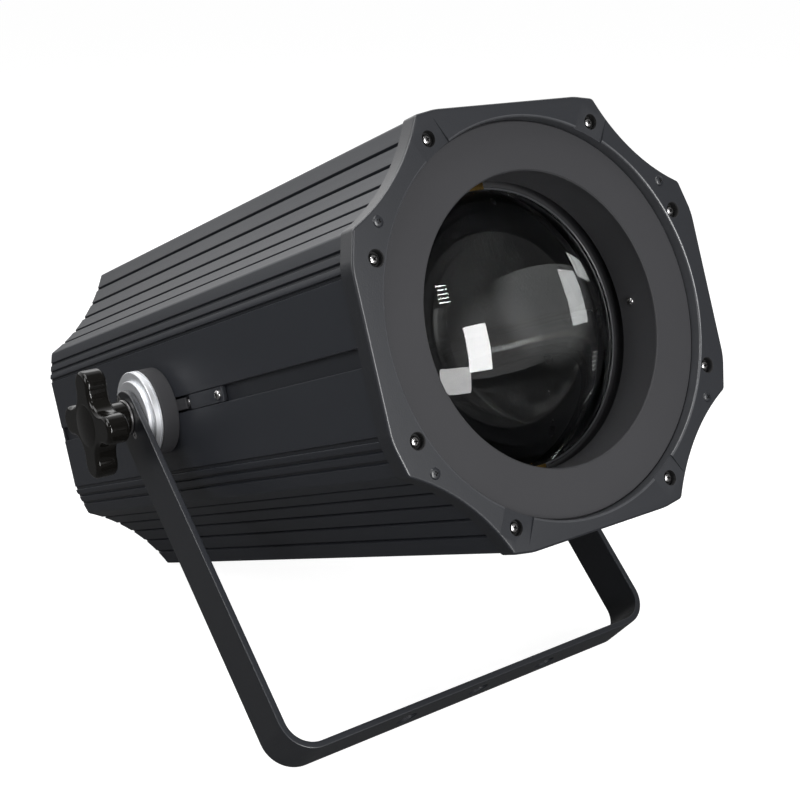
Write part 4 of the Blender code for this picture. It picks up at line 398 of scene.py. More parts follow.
def make_finishes(colors):
    coat = Finish("coat", "satin_powder_coat")
    clouds = coat.noise(9.0, 3.0)
    peel = coat.noise(1400.0)
    coat.tint(clouds, colors.coat, 0.92, 1.08)
    coat.bump(peel, 0.00006)
    coat.set(Roughness=0.34 + 0.08 * clouds + 0.05 * peel, Specular_IOR_Level=0.65,
             Coat_Weight=0.25, Coat_Roughness=0.22)

    # Same coat as above in a lighter copy, painted light on the shells.
    extruded = Finish("extruded", "shell_coat_painted_lighter")
    clouds = extruded.noise(7.0, 3.0)
    peel = extruded.noise(1400.0)
    drawn = extruded.streaks((90.0, 2.0, 90.0), 4.0)
    extruded.tint(clouds, colors.extrusion, 0.93, 1.07)
    extruded.bump(peel * 0.6 + drawn * 0.4, 0.00006)
    extruded.set(Roughness=0.34 + 0.08 * clouds + 0.06 * peel)

    flat = Finish("flat", "flat_black_paint")
    grain = flat.noise(2200.0)
    flat.tint(flat.noise(14.0), colors.flat)
    flat.bump(grain, 0.00005)
    flat.set(Roughness=0.52 + 0.12 * grain, Specular_IOR_Level=0.2)

    # Near-black in counterbores and screw drives: painted shade of these recesses.
    recess_shade = Finish("recess_shade", "recess_painted_shade")
    recess_shade.tint(recess_shade.noise(500.0), RECESS_SHADE)
    recess_shade.set(Roughness=0.8)

    plastic = Finish("plastic", "black_moulded_plastic")
    grain = plastic.noise(1800.0)
    plastic.tint(plastic.noise(25.0), colors.plastic)
    plastic.bump(grain, 0.00004)
    plastic.set(Roughness=0.42 + 0.14 * grain)

    gloss = Finish("gloss", "glossy_knob_plastic")
    wave = gloss.noise(60.0, 1.0)
    gloss.tint(wave, colors.knob, 0.95, 1.05)
    gloss.bump(wave, 0.0003, 0.15)
    gloss.set(Roughness=0.06 + 0.07 * gloss.noise(30.0), Specular_IOR_Level=0.3,
              Coat_Weight=0.05, Coat_Roughness=0.04)

    steel = Finish("steel", "turned_steel", 1.0)
    marks = steel.rings(3500.0)
    steel.tint(marks, colors.steel)
    steel.set(Roughness=0.18 + 0.20 * marks)

    disc = Finish("disc", "turned_aluminium", 1.0)
    marks = disc.rings(2600.0)
    along = disc.streaks((900.0, 12.0, 12.0), 1.0)
    disc.tint(marks * 0.5 + along * 0.5, colors.aluminium, 1.0, 1.3)
    disc.bump(along, 0.00008)
    disc.set(Roughness=0.44 + 0.10 * marks + 0.06 * along)

    sheet = Finish("sheet", "mill_aluminium", 1.0)
    grain = sheet.streaks((300.0, 10.0, 300.0), 2.0)
    sheet.tint(grain, colors.aluminium, 0.75, 1.0)
    sheet.bump(grain, 0.00003)
    sheet.set(Roughness=0.32 + 0.16 * grain)

    board = Finish("board", "circuit_board_lacquer")
    traces = board.streaks((200.0, 1.0, 40.0), 3.0) > 0.55
    board.tint(traces, colors.board, 0.75, 1.35)
    board.set(Roughness=0.28 + 0.1 * board.noise(80.0))

    glass = Finish("glass", "clear_lens_glass")
    glass.set(Base_Color=(0.96, 0.985, 0.98, 1.0), Transmission_Weight=1.0, IOR=1.49,
              Roughness=0.001 + 0.002 * glass.noise(12.0))

    # The bore wall's lighter paint is a painted highlight.
    plain("bore", "bore_wall_painted_highlight", colors.bore, 60.0, 0.26, 0.12, 300.0, 0.8, 1.2,
          Specular_IOR_Level=0.9)
    plain("screw", "bright_nickel", colors.steel, 900.0, 0.16, 0.14, 700.0, 0.85, 1.1, 1.0)
    plain("mirror", "reflector_bright_dip", MIRROR, 50.0, 0.08, 0.08, 120.0, 0.97, 1.03, 1.0)
    plain("brass", "sprung_brass", colors.brass, 200.0, 0.18, 0.14, 500.0, 0.8, 1.15, 1.0)
    plain("button", "grey_button_plastic", colors.button, 40.0, 0.38, 0.14, 900.0)
    plain("phosphor", "phosphor_face", colors.phosphor, 400.0, 0.4, 0.15, 300.0)
    plain("window", "dark_display_window", WINDOW, 20.0, 0.05, 0.05, 60.0, Coat_Weight=0.5)


# Modelling helpers

class Pen:
    """Draws a line in the XZ plane: straight runs extrude its last point, and arcs spin it."""

    def __init__(self, mesh, x, z):
        self.mesh = mesh
        self.first = mesh.verts.new((x, 0, z))
        self.tip = self.first

    def line(self, x, z):
        made = bmesh.ops.extrude_vert_indiv(self.mesh, verts=[self.tip])
        self.tip = made["verts"][0]
        self.tip.co = (x, 0, z)
        return self.tip

    def arc(self, x, z, turn, steps):
        """Turns from X towards Z where turn is positive."""
        made = bmesh.ops.spin(self.mesh, geom=[self.tip], cent=(x, 0, z), axis=(0, -1, 0),
                              angle=turn, steps=steps)
        self.tip = [item for item in made["geom_last"] if isinstance(item, bmesh.types.BMVert)][0]
        return self.tip

    def groove(self, middle, along, inward, width, depth):
        """Flute across the line, and its two mouth corners."""
        start = middle - along * width / 2
        if (self.tip.co.xz - start).length > MERGE:
            self.line(*start)
        mouth = [self.tip]
        for reach in (-0.34, 0.34):
            self.line(*(middle + along * reach * width + inward * depth))
        return mouth + [self.line(*(middle + along * width / 2))]

    def close(self):
        self.mesh.edges.new((self.tip, self.first))


def soften(mesh, corners, offset, segments):
    """Rounds corners of an outline."""
    bmesh.ops.bevel(mesh, geom=corners, offset=offset, offset_type="OFFSET", segments=segments,
                    profile=0.5, affect="VERTICES", material=-1)


def round_edges(mesh, edges, offset, segments):
    bmesh.ops.bevel(mesh, geom=edges, offset=offset, offset_type="OFFSET", segments=segments,
                    profile=0.5, affect="EDGES", clamp_overlap=True, material=-1)


def thicken(mesh, depth):
    """Fills the outline that is drawn in a mesh and extrudes it along Y."""
    made = bmesh.ops.contextual_create(mesh, geom=mesh.edges[:])
    swept = bmesh.ops.extrude_face_region(mesh, geom=made["faces"])
    moved = [item for item in swept["geom"] if isinstance(item, bmesh.types.BMVert)]
    bmesh.ops.translate(mesh, verts=moved, vec=(0, depth, 0))
    bmesh.ops.recalc_face_normals(mesh, faces=mesh.faces[:])


def lathe(points, steps, closed=True):
    """Turns a profile of (radius, height) points round Z."""
    mesh = bmesh.new()
    pen = Pen(mesh, *points[0])
    for radius, height in points[1:]:
        pen.line(radius, height)
    return spun(mesh, pen, steps, closed)


def spun(mesh, pen, steps, closed):
    if closed:
        pen.close()
    bmesh.ops.spin(mesh, geom=mesh.verts[:] + mesh.edges[:], cent=(0, 0, 0), axis=(0, 0, 1),
                   angle=2 * pi, steps=steps, use_merge=True)
    bmesh.ops.remove_doubles(mesh, verts=mesh.verts[:], dist=MERGE)
    bmesh.ops.recalc_face_normals(mesh, faces=mesh.faces[:])
    return mesh


def block(size, centre, bevel=0.0):
    mesh = bmesh.new()
    bmesh.ops.create_cube(mesh, size=1.0, matrix=at(*centre) @ Matrix.Diagonal((*size, 1.0)))
    if bevel:
        round_edges(mesh, mesh.edges[:], bevel, 2)
    return mesh


def link(name, data):
    made = bpy.data.objects.new(name, data)
    bpy.context.scene.collection.objects.link(made)
    return made


def piece(name, mesh, material, place):
    """Object with its place in its mesh."""
    bmesh.ops.transform(mesh, matrix=place, verts=mesh.verts[:])
    data = bpy.data.meshes.new(name)
    mesh.to_mesh(data)
    mesh.free()
    data.materials.append(FINISHES[material])
    return link(name, data)


def combine(made, other, operation="DIFFERENCE"):
    """Cuts the other piece out of a piece, or welds it on; the faces keep their own materials."""
    step = made.modifiers.new("combine", "BOOLEAN")
    step.operation = operation
    step.solver = "EXACT"
    step.material_mode = "TRANSFER"
    step.object = other
    graph = bpy.context.evaluated_depsgraph_get()
    result = bpy.data.meshes.new_from_object(made.evaluated_get(graph))
    made.modifiers.clear()
    spent = made.data, other.data
    made.data = result
    bpy.data.objects.remove(other)
    for data in spent:
        bpy.data.meshes.remove(data)


def repeated(*groups):
    """One mesh of copies, where each group is a mesh and the places of its copies."""
    whole = bmesh.new()
    for mesh, places in groups:
        data = bpy.data.meshes.new("copy")
        mesh.to_mesh(data)
        mesh.free()
        for place in places:
            before = len(whole.verts)
            whole.from_mesh(data)
            whole.verts.ensure_lookup_table()
            bmesh.ops.transform(whole, matrix=place, verts=whole.verts[before:])
        bpy.data.meshes.remove(data)
    return whole


def settle(made, body, slot, *nodes):
    """Last step of a piece: smooth shading, its body and the solids it stands for; its slot is not
    used.
    """
    data = made.data
    data.shade_smooth()
    data.set_sharp_from_angle(angle=radians(32))
    weights = made.modifiers.new("weighted_normals", "WEIGHTED_NORMAL")
    weights.keep_sharp = True
    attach(made, body)
    if nodes:
        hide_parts(*nodes)


def meet_circle(point, direction, centre, radius):
    """Where a ray first meets a circle."""
    away = Vector(point) - Vector(centre)
    along = away.dot(Vector(direction))
    reach = -along - sqrt(along * along - away.length_squared + radius * radius)
    return Vector(point) + Vector(direction) * reach


def draw_corner(mesh, sizes, outset, start, fluted):
    """Draws a quarter of the section: up the side, round the scallop, to the top's middle."""
    half_width = sizes.half_width + outset
    half_height = sizes.half_height + outset
    centre = Vector((sizes.scallop_x, sizes.scallop_z))
    radius = sizes.scallop_radius - outset
    side_kink = Vector((half_width, sizes.side_flat + outset * tan(sizes.side_lean / 2)))
    top_kink = Vector((sizes.top_flat + outset * tan(sizes.top_lean / 2), half_height))
    rise = Vector((-sin(sizes.side_lean), cos(sizes.side_lean)))
    fall = Vector((cos(sizes.top_lean), -sin(sizes.top_lean)))
    side_corner = meet_circle(side_kink, rise, centre, radius)
    top_corner = meet_circle(top_kink, fall, centre, radius)
    first = atan2(side_corner.y - centre.y, side_corner.x - centre.x)
    last = atan2(top_corner.y - centre.y, top_corner.x - centre.x)
    if last > first:
        last -= 2 * pi
    width, depth = sizes.flute_width, sizes.flute_depth
    mouths = []
    pen = Pen(mesh, half_width, start)
    if fluted:
        mouths += pen.groove(side_kink - Vector((0, KINK_FLUTE)), Vector((0, 1)), Vector((-1, 0)),
                             width, depth)
    kinks = [pen.line(*side_kink)]
    if fluted:
        inward = Vector((-rise.y, rise.x))
        for reach in SIDE_FLUTES:
            mouths += pen.groove(side_corner - rise * reach, rise, inward, width, depth)
    corners = [pen.line(*side_corner)]
    if fluted:
        count = sizes.scallop_flutes
        middle = (first + last) / 2
        heading = first
        for i in range(count):
            angle = middle - sizes.flute_pitch / radius * (i - (count - 1) / 2)
            low = angle + width / 2 / radius
            pen.arc(*centre, low - heading, 4)
            spoke = Vector((cos(angle), sin(angle)))
            along = Vector((spoke.y, -spoke.x))
            mouths += pen.groove(centre + spoke * radius, along, spoke, width, depth)
            heading = angle - width / 2 / radius
        corners.append(pen.arc(*centre, last - heading, 4))
        mouths += pen.groove(top_corner - fall * TOP_FLUTE, -fall, Vector((fall.y, -fall.x)),
                             width, depth)
        kinks.append(pen.line(*top_kink))
        mouths += pen.groove(top_kink - Vector((KINK_FLUTE, 0)), Vector((-1, 0)), Vector((0, -1)),
                             width, depth)
    else:
        corners.append(pen.arc(*centre, last - first, 24))
        kinks.append(pen.line(*top_kink))
    pen.line(0, half_height)
    return kinks, corners, mouths


def mirror(mesh, axis):
    geometry = mesh.verts[:] + mesh.edges[:] + mesh.faces[:]
    bmesh.ops.mirror(mesh, geom=geometry, matrix=Matrix.Identity(4), axis=axis, merge_dist=MERGE)


def crossed(mesh, arm, slim, depth, shorter=1.0, thinner=1.0):
    """Mesh data of a screw with its cross drive, whose arms end shorter and thinner inside."""
    body = piece("screw", mesh, "screw", Matrix.Identity(4))
    for turn in (0, pi / 2):
        bit = block((2 * arm, 2 * slim, depth), (0, 0, 0))
        for vert in bit.verts:
            if vert.co.z > 0:
                vert.co.x *= shorter
                vert.co.y *= thinner
        # The drive's faces take the near-black painted shade.
        combine(body, piece("drive", bit, "recess_shade", Matrix.Rotation(turn, 4, "Z")))
    data = body.data
    bpy.data.objects.remove(body)
    return data


def pan_screw(head, height, shank, reach):
    """Pan head screw with a cross drive. Its top is at 0 and it runs along local Z."""
    dome = ((0.45, 0.03), (0.72, 0.12), (0.88, 0.27), (0.97, 0.5), (1.0, 0.8), (0.99, 1.0))
    points = [(0, 0), *((head * out, height * down) for out, down in dome),
              (shank, height), (shank, height + reach), (0, height + reach)]
    return crossed(lathe(points, 28, False), 0.6 * head, 0.17 * head, 1.3 * height, 0.45, 0.7)


def place_copy(name, data, place, materials=()):
    """Piece that is a copy of a mesh at a place, with its materials changed if asked."""
    copy = data.copy()
    copy.name = name
    copy.transform(place)
    for i, material in enumerate(materials):
        copy.materials[i] = FINISHES[material]
    return link(name, copy)


def scatter(name, data, places, slot, body="head", materials=(), node=None):
    """Numbered copies of a screw, each for the solid of the same number where one is named."""
    for i, place in enumerate(places, 1):
        screw = place_copy("%s_%d" % (name, i), data, place, materials)
        settle(screw, body, slot, *([node % i] if node else []))


# Operators

class SPOTLIGHT_OT_housing(Operator):
    """Two fluted extrusions that meet at the side channels"""
    bl_idname = "spotlight.housing"
    bl_label = "Housing shells"

    def execute(self, context):
        sizes = context.scene.spotlight_housing
        for label, up in (("upper", 1), ("lower", -1)):
            mesh = bmesh.new()
            kinks, corners, mouths = draw_corner(mesh, sizes, 0.0, sizes.channel, True)
            soften(mesh, kinks, 0.0007, 2)
            soften(mesh, corners, 0.0011, 3)
            soften(mesh, mouths, 0.0003, 2)
            draw_corner(mesh, sizes, -sizes.wall, sizes.channel, False)
            mesh.verts.ensure_lookup_table()
            lips = [v for v in mesh.verts if abs(v.co.z - sizes.channel) < MERGE]
            mesh.edges.new(lips)
            soften(mesh, [v for v in lips if v.co.x > sizes.half_width - MERGE], 0.0005, 2)
            mirror(mesh, "X")
            bmesh.ops.scale(mesh, vec=(1, 1, up), verts=mesh.verts[:])
            thicken(mesh, sizes.rear - sizes.front)
            place = LIGHT_SPACE @ at(0, sizes.front, 0)
            shell = piece("housing_shell_" + label, mesh, "extruded", place)
            if up < 0:
                combine(shell, self.vents(sizes))
            settle(shell, "head", "charcoal_paint", "housing_" + label)
        return {"FINISHED"}

    def vents(self, sizes):
        """Two rows of slots with round ends through the lower shell."""
        across, first, pitch = 0.024, 0.150, 0.011
        slot = block((0.026, 0.0035, 0.012), (0, 0, 0))
        upright = [e for e in slot.edges if abs(e.verts[0].co.z - e.verts[1].co.z) > 0.001]
        round_edges(slot, upright, 0.0017, 4)
        places = [at(x, first + pitch * i, -sizes.half_height)
                  for i in range(6) for x in (-across, across)]
        return piece("vents", repeated((slot, places)), "extruded", LIGHT_SPACE)


class SPOTLIGHT_OT_bezel(Operator):
    """Scalloped cast bezel with its round bore, pads and screw seats"""
    bl_idname = "spotlight.bezel"
    bl_label = "Bezel"

    def execute(self, context):
        sizes = context.scene.spotlight_bezel
        mesh = bmesh.new()
        housing = context.scene.spotlight_housing
        kinks, corners, _ = draw_corner(mesh, housing, sizes.overhang, 0.0, False)
        soften(mesh, kinks[:1], 0.0040, 4)
        soften(mesh, kinks[1:], 0.0022, 3)
        soften(mesh, corners, 0.0014, 4)
        mirror(mesh, "X")
        mirror(mesh, "Z")
        thicken(mesh, sizes.thickness)
        rim = [e for e in mesh.edges if all(abs(v.co.y) < MERGE for v in e.verts)]
        round_edges(mesh, rim, sizes.edge_round, 4)
        bezel = piece("scalloped_bezel", mesh, "coat", LIGHT_SPACE)
        combine(bezel, self.seats(sizes))
        combine(bezel, self.bore(sizes))
        combine(bezel, self.pads(sizes))
        settle(bezel, "head", "charcoal_paint", "front_bezel")
        return {"FINISHED"}

    def bore(self, sizes):
        lip = sizes.thickness - 0.0019
        beyond = sizes.thickness + 0.001
        chamfer = sizes.chamfer
        mesh = bmesh.new()
        pen = Pen(mesh, 0, -chamfer)
        pen.line(sizes.bore + chamfer, -chamfer)
        pen.line(sizes.bore + chamfer, 0)
        pen.arc(sizes.bore + chamfer, chamfer, -pi / 2, 4)
        pen.line(sizes.bore, lip)
        pen.line(sizes.lip, lip)
        pen.line(sizes.lip, beyond)
        pen.line(0, beyond)
        # The cut faces of the bore take its lighter paint, a painted highlight.
        return piece("bore", spun(mesh, pen, 160, False), "bore", LIGHT_SPACE @ TO_BACK)

    def pads(self, sizes):
        """Four shallow wedges that run out of the bore past the upper and lower screws."""
        inner = sizes.bore - 0.006
        slope = PAD_DEPTH / (PAD_REACH - sizes.bore)
        lead = 0.002
        mesh = bmesh.new()
        pen = Pen(mesh, inner, 0)
        pen.line(inner, PAD_DEPTH + (sizes.bore - inner) * slope + lead)
        pen.line(PAD_REACH + lead / slope, 0)
        pen.close()
        bmesh.ops.transform(mesh, matrix=at(0, -PAD_WIDTH / 2, 0), verts=mesh.verts[:])
        thicken(mesh, PAD_WIDTH)
        bmesh.ops.transform(mesh, matrix=TO_BACK @ at(0, 0, -lead), verts=mesh.verts[:])
        turns = (PAD_ANGLE, pi - PAD_ANGLE, PAD_ANGLE - pi, -PAD_ANGLE)
        places = [Matrix.Rotation(-turn, 4, "Y") for turn in turns]
        return piece("pads", repeated((mesh, places)), "coat", LIGHT_SPACE)

    def seats(self, sizes):
        """Counterbores of the bright screws, with eased mouths, and the holes below them."""
        through = sizes.thickness + 0.001
        hole = 0.0018
        deep = sizes.counterbore_depth
        wide, ease = sizes.counterbore, 0.0004
        # The counterbores' faces take the near-black painted shade.
        recess_shade = lathe([(0, through), (hole, through), (hole, deep), (wide, deep), (wide, ease),
                      (wide + ease, 0), (wide + ease, -0.002), (0, -0.002)], 40, False)
        places = [at(x * sx, 0, z * sz) @ TO_BACK
                  for x, z in (TOP_SCREW, SIDE_SCREW) for sx in (1, -1) for sz in (1, -1)]
        return piece("seats", repeated((recess_shade, places)), "recess_shade", LIGHT_SPACE)


class SPOTLIGHT_OT_bezel_screws(Operator):
    """Eight bright pan head screws and four painted ones"""
    bl_idname = "spotlight.bezel_screws"
    bl_label = "Bezel screws"

    def execute(self, context):
        sizes = context.scene.spotlight_bezel
        shank = 0.0015
        height, proud = 0.0022, -0.0009
        data = pan_screw(sizes.screw_head, height, shank, 0.014)
        top = sizes.counterbore_depth - 0.0003 - height
        places = [LIGHT_SPACE @ at(x, top, z) @ TO_BACK @ spin(23 + 41 * i)
                  for i, (x, z) in enumerate(SCREW_SPOTS)]
        scatter("pan_screw", data, places, "steel", node="bezel_screw_%d")
        painted = pan_screw(sizes.corner_head, 0.0016, shank, 0.010)
        places = [LIGHT_SPACE @ at(x, proud, z) @ TO_BACK @ spin(31 * i)
                  for i, (x, z) in enumerate(in_corners(*CORNER_SCREW))]
        scatter("painted_screw", painted, places, "charcoal_paint", materials=("coat", "recess_shade"))
        return {"FINISHED"}


class SPOTLIGHT_OT_optics(Operator):
    """Ring plate with its tube, and the domed lens"""
    bl_idname = "spotlight.optics"
    bl_label = "Ring plate and lens"

    def execute(self, context):
        sizes = context.scene.spotlight_optics
        front = sizes.ring_recess
        back = front + 0.0022
        outer = sizes.tube + 0.0016
        soft = 0.0007
        rim, hole = sizes.ring_radius, sizes.aperture
        mesh = lathe([(outer, sizes.tube_rear), (outer, back), (rim, back), (rim, front + soft),
                      (rim - soft, front), (hole + soft, front), (hole, front + soft), (hole, back),
                      (sizes.tube, back), (sizes.tube, sizes.tube_rear)], 160)
        ring = piece("ring_plate_and_tube", mesh, "flat", LIGHT_SPACE @ TO_BACK)
        settle(ring, "head", "flat_black", "front_baffle")
        data = pan_screw(0.0026, 0.0018, 0.0014, 0.004)
        places = [LIGHT_SPACE @ at(side * (sizes.tube - 0.0014), 0.025, 0) @ outward(side)
                  for side in (-1, 1)]
        scatter("hood_screw", data, places, "steel")
        self.lens(sizes)
        self.rim(sizes)
        return {"FINISHED"}

    def rim(self, sizes):
        """Thin dark ring that holds the lens's rim."""
        middle, thick, depth = 0.0768, 0.00045, sizes.lens_depth - 0.0006
        points = [(middle + thick * cos(i * pi / 5), depth + thick * sin(i * pi / 5))
                  for i in range(10)]
        ring = piece("lens_rim_ring", lathe(points, 128), "bore", LIGHT_SPACE @ TO_BACK)
        settle(ring, "lens_carriage", "flat_black")

    def lens(self, sizes):
        ball = (sizes.dome ** 2 + sizes.dome_height ** 2) / (2 * sizes.dome_height)
        mesh = bmesh.new()
        ease = 0.0005
        edge = sizes.lens - ease
        curve = sizes.rear_curve
        pen = Pen(mesh, 0, -sizes.dome_height)
        pen.arc(0, ball - sizes.dome_height, asin(sizes.dome / ball), 40)
        pen.line(edge, 0)
        pen.line(sizes.lens, ease)
        pen.line(sizes.lens, sizes.rim - ease)
        pen.line(edge, sizes.rim)
        pen.arc(0, sizes.rim - sqrt(curve ** 2 - edge ** 2), asin(edge / curve), 16)
        place = LIGHT_SPACE @ at(0, sizes.lens_depth, 0) @ TO_BACK
        lens = piece("domed_lens", spun(mesh, pen, 128, False), "glass", place)
        settle(lens, "lens_carriage", "lens_glass", "main_lens")


class SPOTLIGHT_OT_joints(Operator):
    """Boss, friction disc, channel pieces and star knob of each side"""
    bl_idname = "spotlight.joints"
    bl_label = "Tilt joints"

    def execute(self, context):
        sizes = context.scene.spotlight_joint
        for label, side in SIDES:
            self.boss(sizes, side, label)
            self.disc(sizes, side, label)
            self.channel(sizes, side, label)
            self.knob(sizes, side, label)
        return {"FINISHED"}

    def boss(self, sizes, side, label):
        end, hole, ease = sizes.boss_thickness, 0.0053, 0.0008
        mesh = lathe([(hole, 0), (hole, end), (sizes.boss - ease, end), (sizes.boss, end - ease),
                      (sizes.boss, 0)], 72)
        boss = piece("tilt_boss_" + label, mesh, "flat", on_axis(side, BOSS_X))
        key = block(KEY_SIZE, (side * KEY_X, -KEY_SIZE.y / 2, 0), 0.0004)
        combine(boss, piece("key", key, "flat", HEAD_SPACE), "UNION")
        settle(boss, "head", "flat_black", "pivot_plate_" + label)

    def disc(self, sizes, side, label):
        rim, step = sizes.disc, sizes.step
        edge, end = sizes.disc_thickness, sizes.disc_thickness + sizes.step_thickness
        mesh = lathe([(BORE_RADIUS, 0), (rim - 0.0003, 0), (rim, 0.0003), (rim, 0.0011),
                      (rim - 0.0006, 0.0012), (rim - 0.0006, 0.0016), (rim, 0.0017),
                      (rim, edge - 0.0004), (rim - 0.0004, edge), (step, edge),
                      (step, end - 0.0003), (step - 0.0003, end), (BORE_RADIUS, end)], 96)
        disc = piece("friction_disc_turned_" + label, mesh, "disc", on_axis(side, DISC_X))
        settle(disc, "yoke", "aluminium", "friction_disc_" + label)

    def channel(self, sizes, side, label):
        """Strip in the side channel with its bright screw, and the pin beside it."""
        x, y = STRIP_PLACE
        strip = block(STRIP_SIZE, (side * x, y, 0), 0.0004)
        made = piece("channel_filler_" + label, strip, "extruded", LIGHT_SPACE)
        settle(made, "head", "charcoal_paint", "channel_strip_" + label)
        data = pan_screw(0.00285, 0.0018, 0.0015, 0.004)
        x, y = CHANNEL_SCREW_PLACE
        place = LIGHT_SPACE @ at(side * x, y, 0) @ outward(-side) @ spin(CHANNEL_SCREW_TURN)
        settle(place_copy("channel_screw_" + label, data, place), "head", "steel")
        radius, reach, ease = 0.0019, 0.0067, 0.0004
        pin = lathe([(0, 0), (radius, 0), (radius, reach - 0.0003), (radius - ease, reach),
                     (0, reach)], 28, False)
        x, y = PIN_PLACE
        place = LIGHT_SPACE @ at(side * x, y, 0) @ outward(side)
        made = piece("bright_pin_" + label, pin, "screw", place)
        settle(made, "head", "steel", "channel_pin_" + label)

    def knob(self, sizes, side, label):
        top = WASHER_THICKNESS
        washer = lathe([(BORE_RADIUS, 0), (0.0104, 0), (0.0108, 0.0003), (0.0108, top - 0.0003),
                        (0.0104, top), (BORE_RADIUS, top)], 56)
        settle(piece("washer_" + label, washer, "steel", on_axis(side, WASHER_X)),
               "knob_washer_" + label, "steel", "knob_washer_" + label)
        star = self.star(sizes, side)
        half = sizes.knob_thickness / 2
        place = on_axis(side, STAR_X + half)
        knob = piece("star_knob_" + label, star, "gloss", place)
        low = KNOB_X - STAR_X - half
        neck = lathe([(BORE_RADIUS, low), (0.0100, low), (0.0104, low + 0.0006),
                      (0.0104, -half - 0.0030), (0.0110, -half - 0.0012), (0.0125, -half),
                      (0.0125, -half + 0.002), (BORE_RADIUS, -half + 0.002)], 64)
        combine(knob, piece("neck", neck, "gloss", place), "UNION")
        cap = lathe([(0, half + 0.0013), (0.0054, half + 0.0011), (0.0101, half + 0.0006),
                     (0.0130, half + 0.0001), (0.0135, half - 0.0003), (0.0135, half - 0.002),
                     (0, half - 0.002)], 64, False)
        combine(knob, piece("cap", cap, "gloss", place), "UNION")
        settle(knob, "knob_" + label, "gloss_black", "knob_" + label)

    def star(self, sizes, side):
        """Round lobes that flow into round hollows, drawn in local XY and as thick as the knob."""
        tip = sizes.knob_reach - sizes.knob_tip
        half = pi / sizes.lobes
        both = sizes.knob_tip + sizes.knob_valley
        valley = tip * cos(half) + sqrt(both ** 2 - (tip * sin(half)) ** 2)
        mesh = bmesh.new()
        pen = None
        for lobe in range(sizes.lobes):
            heading = 2 * half * lobe - side * KNOB_TURN
            between = heading + half
            centre = Vector((tip * cos(heading), tip * sin(heading)))
            hollow = Vector((valley * cos(between), valley * sin(between)))
            toward = atan2(hollow.y - centre.y, hollow.x - centre.x)
            swing = (toward - heading) % (2 * pi)
            if pen is None:
                pen = Pen(mesh, centre.x + sizes.knob_tip * cos(heading - swing),
                          centre.y + sizes.knob_tip * sin(heading - swing))
            pen.arc(*centre, 2 * swing, 20)
            start = heading + swing + pi
            pen.arc(*hollow, 2 * (between + pi) - 2 * start, 10)
        bmesh.ops.remove_doubles(mesh, verts=mesh.verts[:], dist=MERGE * 10)
        thicken(mesh, sizes.knob_thickness)
        rims = [e for e in mesh.edges if abs(e.verts[0].co.y - e.verts[1].co.y) < MERGE]
        round_edges(mesh, rims, sizes.knob_round, 5)
        upright = Matrix.Rotation(pi / 2, 4, "X") @ at(0, -sizes.knob_thickness / 2, 0)
        bmesh.ops.transform(mesh, matrix=upright, verts=mesh.verts[:])
        return mesh


